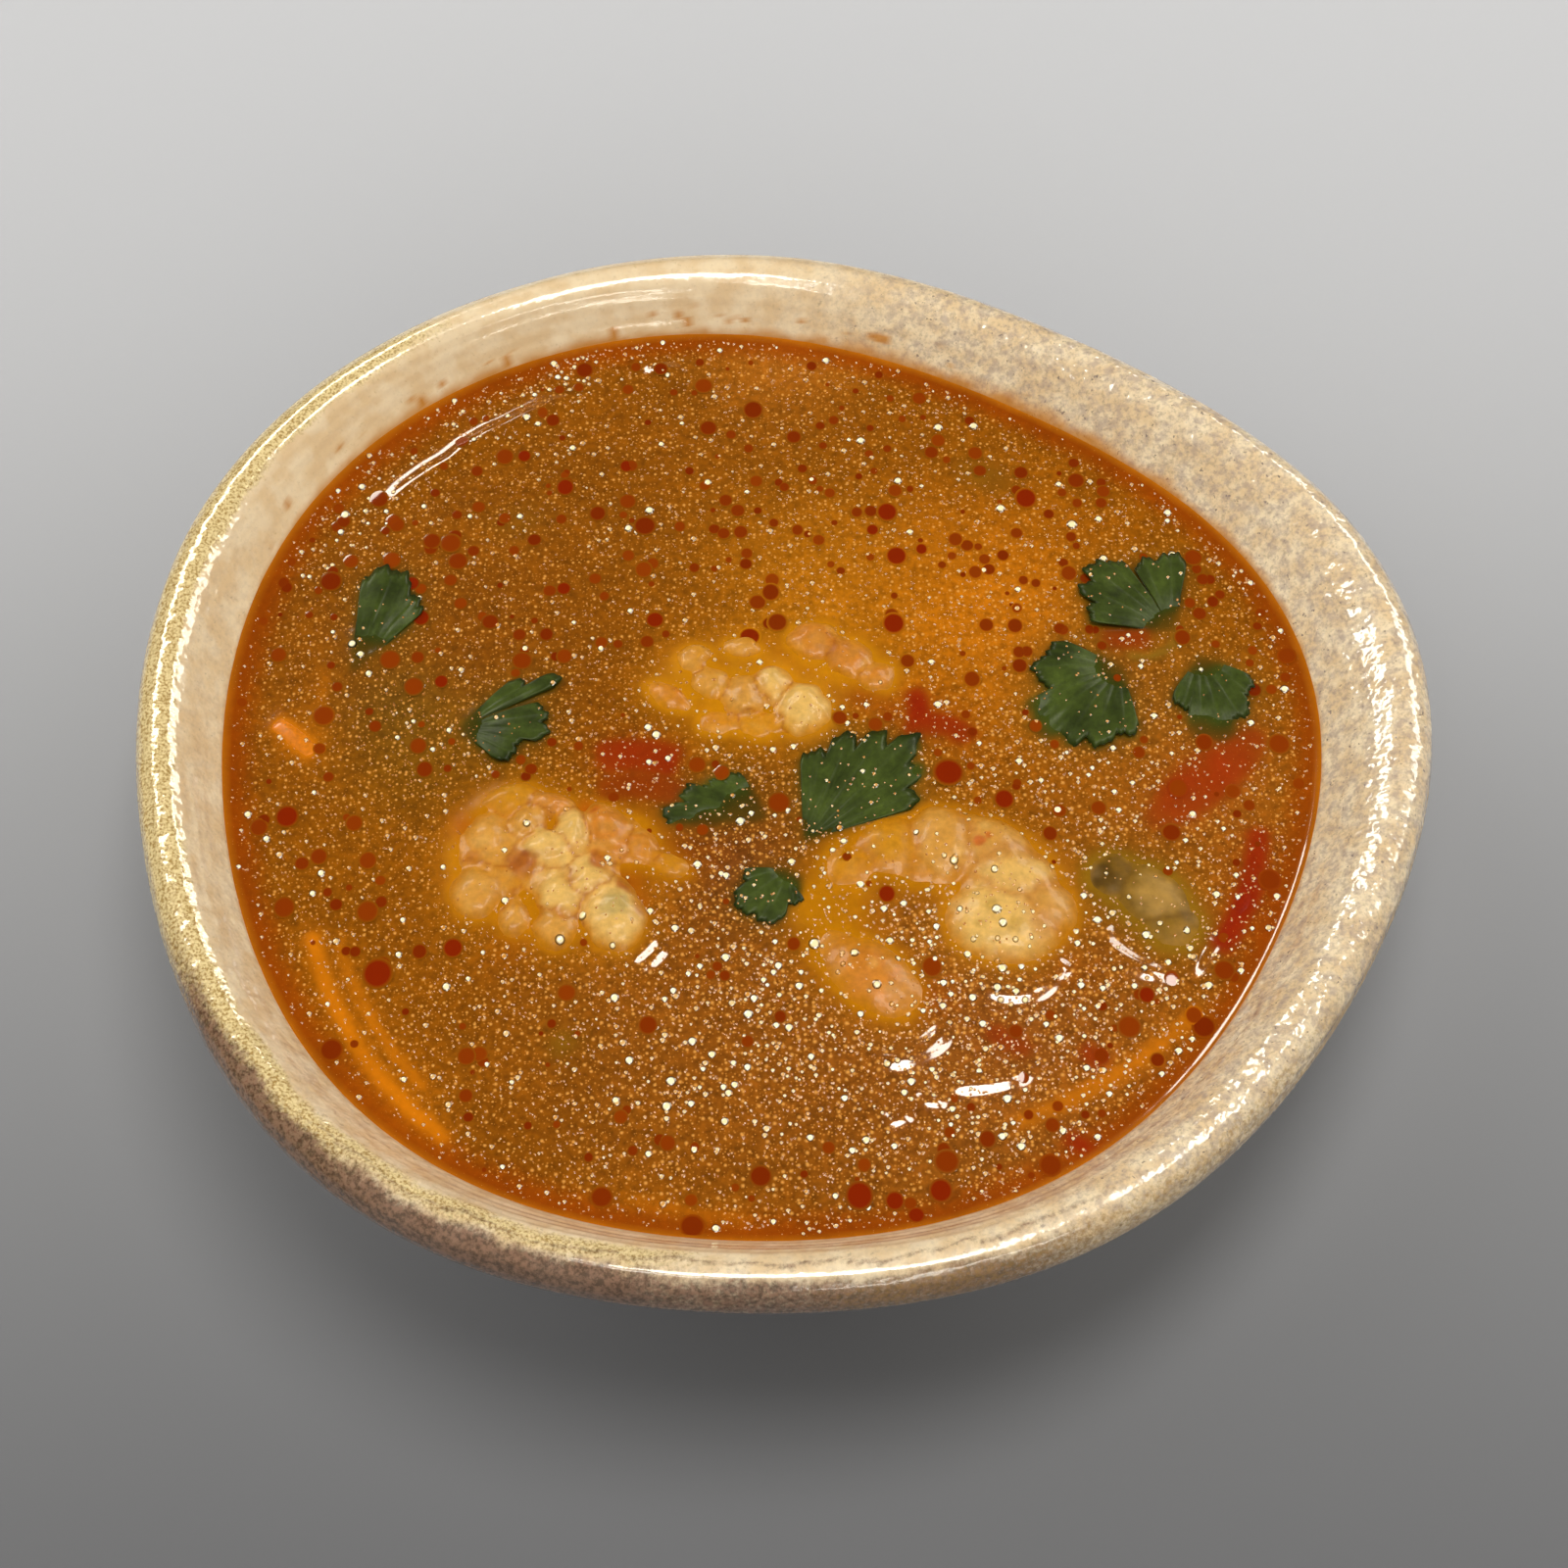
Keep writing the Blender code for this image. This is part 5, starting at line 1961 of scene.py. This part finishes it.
@dataclass
class OilFilm:
    """The chilli oil: large red discs at listed places, smaller ones scattered, and thousands of beads."""

    ground: Ground
    big: tuple[tuple[float, float, float], ...] = (
        (-62.3, -40.6, 2.7),
        (26.2, -4.9, 2.6),
        (-78.5, -13.0, 2.1),
        (11.1, -77.0, 2.4),
        (-51.0, -36.2, 1.8),
        (16.3, -77.8, 1.6),
        (23.1, -76.2, 2.0),
        (16.0, -26.8, 1.6),
        (-36.9, 50.8, 1.8),
        (-26.7, 55.2, 1.3),
        (17.3, 45.7, 2.0),
        (18.7, 36.8, 2.0),
        (40.7, 48.5, 2.2),
        (18.0, 23.4, 2.2),
        (-21.2, 24.1, 1.6),
        (-5.6, 20.7, 1.9),
        (22.9, 38.2, 1.2),
        (14.8, 42.1, 1.2),
        (34.9, -9.8, 1.9),
        (55.4, -44.2, 1.5),
        (-36.4, 30.3, 1.3),
        (-61.6, 31.3, 1.4),
        (-59.6, 24.5, 1.6),
        (-55.6, 12.2, 1.3),
        (-44.1, 57.3, 1.3),
        (19.4, -80.1, 1.3),
    )
    disc_count: int = 420
    deep_red: str = "#802000"
    dark_red: str = "#762400"
    light_red: str = "#8a3802"
    seed: int = 7

    def __post_init__(self) -> None:
        """Starts the random numbers."""
        self.random = np.random.default_rng(self.seed)

    @staticmethod
    def inside(x: float, y: float, margin: float) -> bool:
        """Whether a place in mm lies on the broth, that far from its edge."""
        cx, cy = x + RIM_CENTRE[0], y + RIM_CENTRE[1]
        angle = math.atan2(cy, cx)
        return math.hypot(cx, cy) < BROTH_LINE.radius + float(BROTH_LINE.stray(angle)) - margin

    def scatter(
        self, count: int, chance: Callable[[float, float], float], margin: float, on_food: float
    ) -> list[Spot]:
        """Random places on the broth and the food.

        Args:
            count: how many.
            chance: how likely a place is kept, from its x and y in mm.
            margin: how far places stay from the wall, in mm.
            on_food: how likely a place on the food is kept.

        Returns:
            The places.
        """
        found: list[Spot] = []
        while len(found) < count:
            x, y = self.random.uniform(-92, 92, 2)
            kept = self.random.random() < chance(x, y)
            lucky = self.random.random() < on_food
            if not kept or not self.inside(x, y, margin):
                continue
            spot = self.ground.under(x * MM, y * MM)
            if spot and (lucky or spot.piece == "broth_surface"):
                found.append(spot)
        return found

    @staticmethod
    def disc_chance(x: float, y: float) -> float:
        """Discs are thickest on the far half and along the wall."""
        return 0.25 + 0.75 * math.exp(-(((y - 40) / 30) ** 2)) + 0.3 * (math.hypot(x, y) > 66)

    @staticmethod
    def crowd(x: float, y: float) -> float:
        """How crowded the beads lie: most at the near right and along the far wall."""
        near = math.exp(-(((x - 25) / 45) ** 2 + ((y + 42) / 36) ** 2))
        far = math.exp(-(((math.hypot(x, y) - 84) / 5) ** 2)) * (y > 30)
        return 0.6 * near + 0.4 * far

    @classmethod
    def bead_chance(cls, x: float, y: float) -> float:
        """Fine beads lie everywhere in patches."""
        patchy = 0.5 + 0.5 * noise.noise(Vector((x / 9, y / 9, 4.0)))
        return min(1.0, (0.42 + cls.crowd(x, y)) * (0.45 + 0.9 * patchy))

    @classmethod
    def glint_chance(cls, x: float, y: float) -> float:
        """Larger, paler beads keep to the crowded parts."""
        patchy = 0.5 + 0.5 * noise.noise(Vector((x / 7, y / 7, 9.0)))
        return min(1.0, (0.15 + 1.2 * cls.crowd(x, y)) * (0.3 + 1.2 * patchy))

    def discs(self) -> bpy.types.Object:
        """The red discs, soft at their edges.

        Returns:
            Their object.
        """
        drops = []
        for x, y, radius in self.big:
            spot = self.ground.under(x * MM, y * MM)
            drops.append(Drop(spot, radius * MM, spot.tone, linear(self.deep_red)))
        for spot in self.scatter(self.disc_count, self.disc_chance, 1.5, 0.0):
            radius = float(np.clip(self.random.lognormal(0.0, 0.42), 0.45, 2.0))
            share = self.random.random()
            core = blend(linear(self.dark_red), linear(self.light_red), share)
            drops.append(Drop(spot, radius * MM, spot.tone, core))
        return Drops("red_oil_discs", 20, 4, (0.12, 0.14), 0.72, 1.0, 0.07).build(drops, self.random)

    def beads(
        self,
        count: int,
        chance: Callable[[float, float], float],
        middle: float,
        spread: float,
        dark: float,
        pale: str,
        bright_fat_and_glint: str,
    ) -> list[Drop]:
        """Scattered beads.

        Args:
            count: how many.
            chance: how likely a bead lies at a place, from its x and y in mm.
            middle: their usual radius in mm.
            spread: how far the radii spread round it.
            dark: the rim's colour as a share of the colour it lies on.
            pale: the dullest middle; on the large beads it is already a painted highlight.
            bright_fat_and_glint: the brightest middle; on the middling and large beads it is a painted
                highlight.

        Returns:
            The beads.
        """
        drops = []
        for spot in self.scatter(count, chance, 0.6, 0.35):
            radius = self.random.lognormal(math.log(middle), spread)
            radius = float(np.clip(radius, middle * 0.6, middle * 1.8))
            crowd = self.crowd(spot.place.x / MM, spot.place.y / MM)
            # The middle's share of the bright colour grows where beads crowd, and on the middling and large
            # beads that bright middle is a painted highlight.
            share = self.random.random() * min(1.0, 0.45 + crowd)
            core = blend(linear(pale), linear(bright_fat_and_glint), share)
            drops.append(Drop(spot, radius * MM, spot.tone * dark, core))
        return drops

    def build(self) -> list[bpy.types.Object]:
        """Makes the discs and the beads.

        Returns:
            Their objects.
        """
        # The fine beads' paler middles are their own fat; the middling and large beads get cream middles that
        # are painted highlights.
        small = self.beads(9500, self.bead_chance, 0.2, 0.25, 0.8, "#a05c10", "#e8ac5c")
        middling = self.beads(1500, self.glint_chance, 0.4, 0.24, 0.42, "#d08c34", "#fff0b4")
        large = self.beads(260, self.glint_chance, 0.66, 0.2, 0.3, "#ffeab0", "#fffbdc")
        return [
            self.discs(),
            Drops("fine_oil_beads", 6, 31, (0.45,), 0.5, 1.0).build(small, self.random),
            Drops("oil_beads", 8, 31, (0.22, 0.26), 0.52, 0.8).build(middling, self.random),
            Drops("large_oil_beads", 12, 29, (0.24, 0.26), 0.5, 0.78).build(large, self.random),
        ]


# --- studio ---


@dataclass(frozen=True)
class Lamp:
    """A soft light: its direction and distance, its width and depth, and its strength.

    One that doesn't shine lights the piece but makes no highlight. One that doesn't light only shines.
    """

    name: str
    direction: tuple[float, float, float]
    distance: float
    width: float
    depth: float
    light: float
    shines: bool = False
    lights: bool = True


@dataclass
class Studio:
    """The floor, the lamps and the camera."""

    lamps: tuple[Lamp, ...] = (
        Lamp("overhead", (0.06, -0.04, 1.0), 1.0, 0.5, 0.3, 1.72),
        Lamp("key", (-0.6, 0.2, 0.7), 1.2, 1.0, 1.0, 0.85),
        Lamp("front", (0.1, -0.85, 0.52), 1.2, 1.0, 1.0, 1.05),
        Lamp("left", (-0.86, 0.25, 0.45), 1.2, 1.2, 0.26, 0.75),
        Lamp("right", (0.8, 0.25, 0.5), 1.2, 1.2, 0.26, 0.75),
        Lamp("near_gleam", (0.06, -0.27, 0.96), 1.0, 0.5, 0.26, 2.0, shines=True, lights=False),
        Lamp("left_gleam", (-0.47, 0.58, 0.68), 1.2, 0.8, 0.3, 1.8, shines=True, lights=False),
        Lamp("right_gleam", (0.63, 0.57, 0.56), 1.2, 0.9, 0.4, 1.8, shines=True, lights=False),
        Lamp("far_gleam", (0.32, -0.8, 0.5), 1.2, 0.7, 0.07, 0.28, shines=True, lights=False),
        Lamp("wall_gleam", (0.42, 0.04, 0.9), 1.0, 0.34, 0.24, 0.96, shines=True, lights=False),
        Lamp("back", (0.6, 0.4, 0.6), 1.2, 1.2, 1.2, 0.5),
        Lamp("front_spark", (-0.15, -0.5, 0.85), 1.2, 0.22, 0.12, 0.15, shines=True),
    )
    aim: Vector = field(default_factory=lambda: Vector((0, 0, 0.05)))
    camera_aim: tuple[float, float, float] = (0.0, -0.01245, 0.060)
    camera_distance: float = 0.46
    camera_rise: float = 60.0
    lens: float = 68.0
    sensor: float = 36.0
    floor_size: float = 2.0
    room_light: float = 0.03
    lamp_white: tuple[float, float, float] = (1.0, 0.97, 0.91)
    gleam_white: tuple[float, float, float] = (1.0, 0.96, 0.85)

    def build(self) -> None:
        """Sets the floor, hangs the lamps and points the camera."""
        bm = bmesh.new()
        bmesh.ops.create_grid(bm, x_segments=4, y_segments=4, size=self.floor_size)
        floor = add_object("floor", mesh_from("floor", bm))
        floor.data.materials.append(BACKDROP.material())
        for lamp in self.lamps:
            self.hang(lamp)
        world = bpy.data.worlds.new("room")
        world.use_nodes = True
        room = world.node_tree.nodes["Background"].inputs
        room["Color"].default_value = (1, 1, 1, 1)
        room["Strength"].default_value = self.room_light
        bpy.context.scene.world = world
        self.point_camera()
        bpy.context.scene.view_settings.view_transform = "Standard"

    def hang(self, lamp: Lamp) -> None:
        """Hangs one lamp. Its light is what it sheds on a surface that faces it, over pi being full white.

        Args:
            lamp: the lamp.
        """
        data = bpy.data.lights.new(lamp.name, "AREA")
        data.shape = "ELLIPSE"
        data.size = lamp.width
        data.size_y = lamp.depth
        data.color = self.lamp_white if lamp.lights else self.gleam_white
        data.energy = lamp.light * math.pi * lamp.distance**2
        item = bpy.data.objects.new(lamp.name, data)
        way = Vector(lamp.direction).normalized()
        item.location = self.aim + way * lamp.distance
        item.rotation_euler = way.to_track_quat("Z", "Y").to_euler()
        item.visible_glossy = lamp.shines
        item.visible_diffuse = lamp.lights
        bpy.context.scene.collection.objects.link(item)

    def point_camera(self) -> None:
        """Looks down at the bowl from the viewer's side."""
        data = bpy.data.cameras.new("camera")
        data.lens = self.lens
        data.sensor_width = self.sensor
        item = bpy.data.objects.new("camera", data)
        rise = math.radians(self.camera_rise)
        way = Vector((0, -math.cos(rise), math.sin(rise)))
        item.location = Vector(self.camera_aim) + way * self.camera_distance
        item.rotation_euler = way.to_track_quat("Z", "Y").to_euler()
        bpy.context.scene.collection.objects.link(item)
        bpy.context.scene.camera = item


def soft_bodies() -> tuple[SoftBody, ...]:
    """The prawns and the mushroom piece that show at the surface.

    Returns:
        The bodies, in the order that they are built.
    """
    return (
        SoftBody(
            "prawn_left",
            PRAWN_LEFT,
            *(PRAWN, "prawn", PRAWN_FILM, LEFT_MARKS),
            smooth=18,
            crease_shade_strength=0.42,
            seed=1.0,
        ),
        SoftBody(
            "prawn_centre",
            PRAWN_CENTRE,
            *(PRAWN, "prawn", DEEP_PRAWN_FILM, CENTRE_MARKS),
            lump=0.4,
            crease_shade_strength=0.42,
            seed=2.0,
        ),
        SoftBody(
            "prawn_right",
            PRAWN_RIGHT,
            *(PRAWN, "prawn", PRAWN_FILM, RIGHT_MARKS),
            smooth=20,
            lump=0.18,
            crease_shade_strength=0.14,
            seed=3.0,
        ),
        SoftBody(
            "mushroom_piece",
            STRAW_MUSHROOM,
            *(MUSHROOM, "mushroom", MUSHROOM_FILM, MUSHROOM_MARKS),
            smooth=26,
            lump=0.16,
            crease_shade_and_stain="#6a4a14",
            painted_hollow_shade="#6a4c14",
            pale="#b08c4c",
            dull="#6c5212",
            seed=4.0,
        ),
    )


def main() -> None:
    """Builds and dresses every piece in order."""
    hand_over(StonewareBowl().build(), GLAZE, "stoneware_glaze", "bowl")
    shallows = Shallows()
    ground = Ground()
    for body in soft_bodies():
        piece = hand_over(body.build(), body.finish, body.slot, body.node)
        shallows.add(piece, body.film, swells=True)
        ground.add(piece)
    for node, lobes in SUNKEN_MUSHROOMS:
        tones = {"pale": "#8a6a30", "dull": "#5a4010"}
        body = SoftBody(node, lobes, MUSHROOM, "mushroom", MUSHROOM_FILM, **tones, seed=6.0)
        shallows.add(hand_over(body.build(), body.finish, body.slot), body.film)
    wedge = TomatoWedge()
    piece = hand_over(wedge.build(), TOMATO, "tomato", wedge.node)
    shallows.add(piece, wedge.film)
    ground.add(piece)
    for strip in STRIPS:
        piece = hand_over(strip.build(), strip.finish, strip.slot, strip.node)
        shallows.add(piece, strip.film)
        ground.add(piece)
    for strip in SUNKEN_STRIPS:
        shallows.add(hand_over(strip.build(), strip.finish, strip.slot), strip.film)
    for leaflet in LEAVES:
        piece = hand_over(leaflet.build(), LEAF, "coriander", leaflet.node)
        shallows.add(piece, LEAF_FILM)
        ground.add(piece)
    broth = hand_over(Broth(shallows).build(), BROTH, "broth", "broth")
    ground.add(broth)
    for film in OilFilm(ground).build():
        hand_over(film, OIL, "broth")
    Studio().build()


if __name__ == "__main__":
    main()
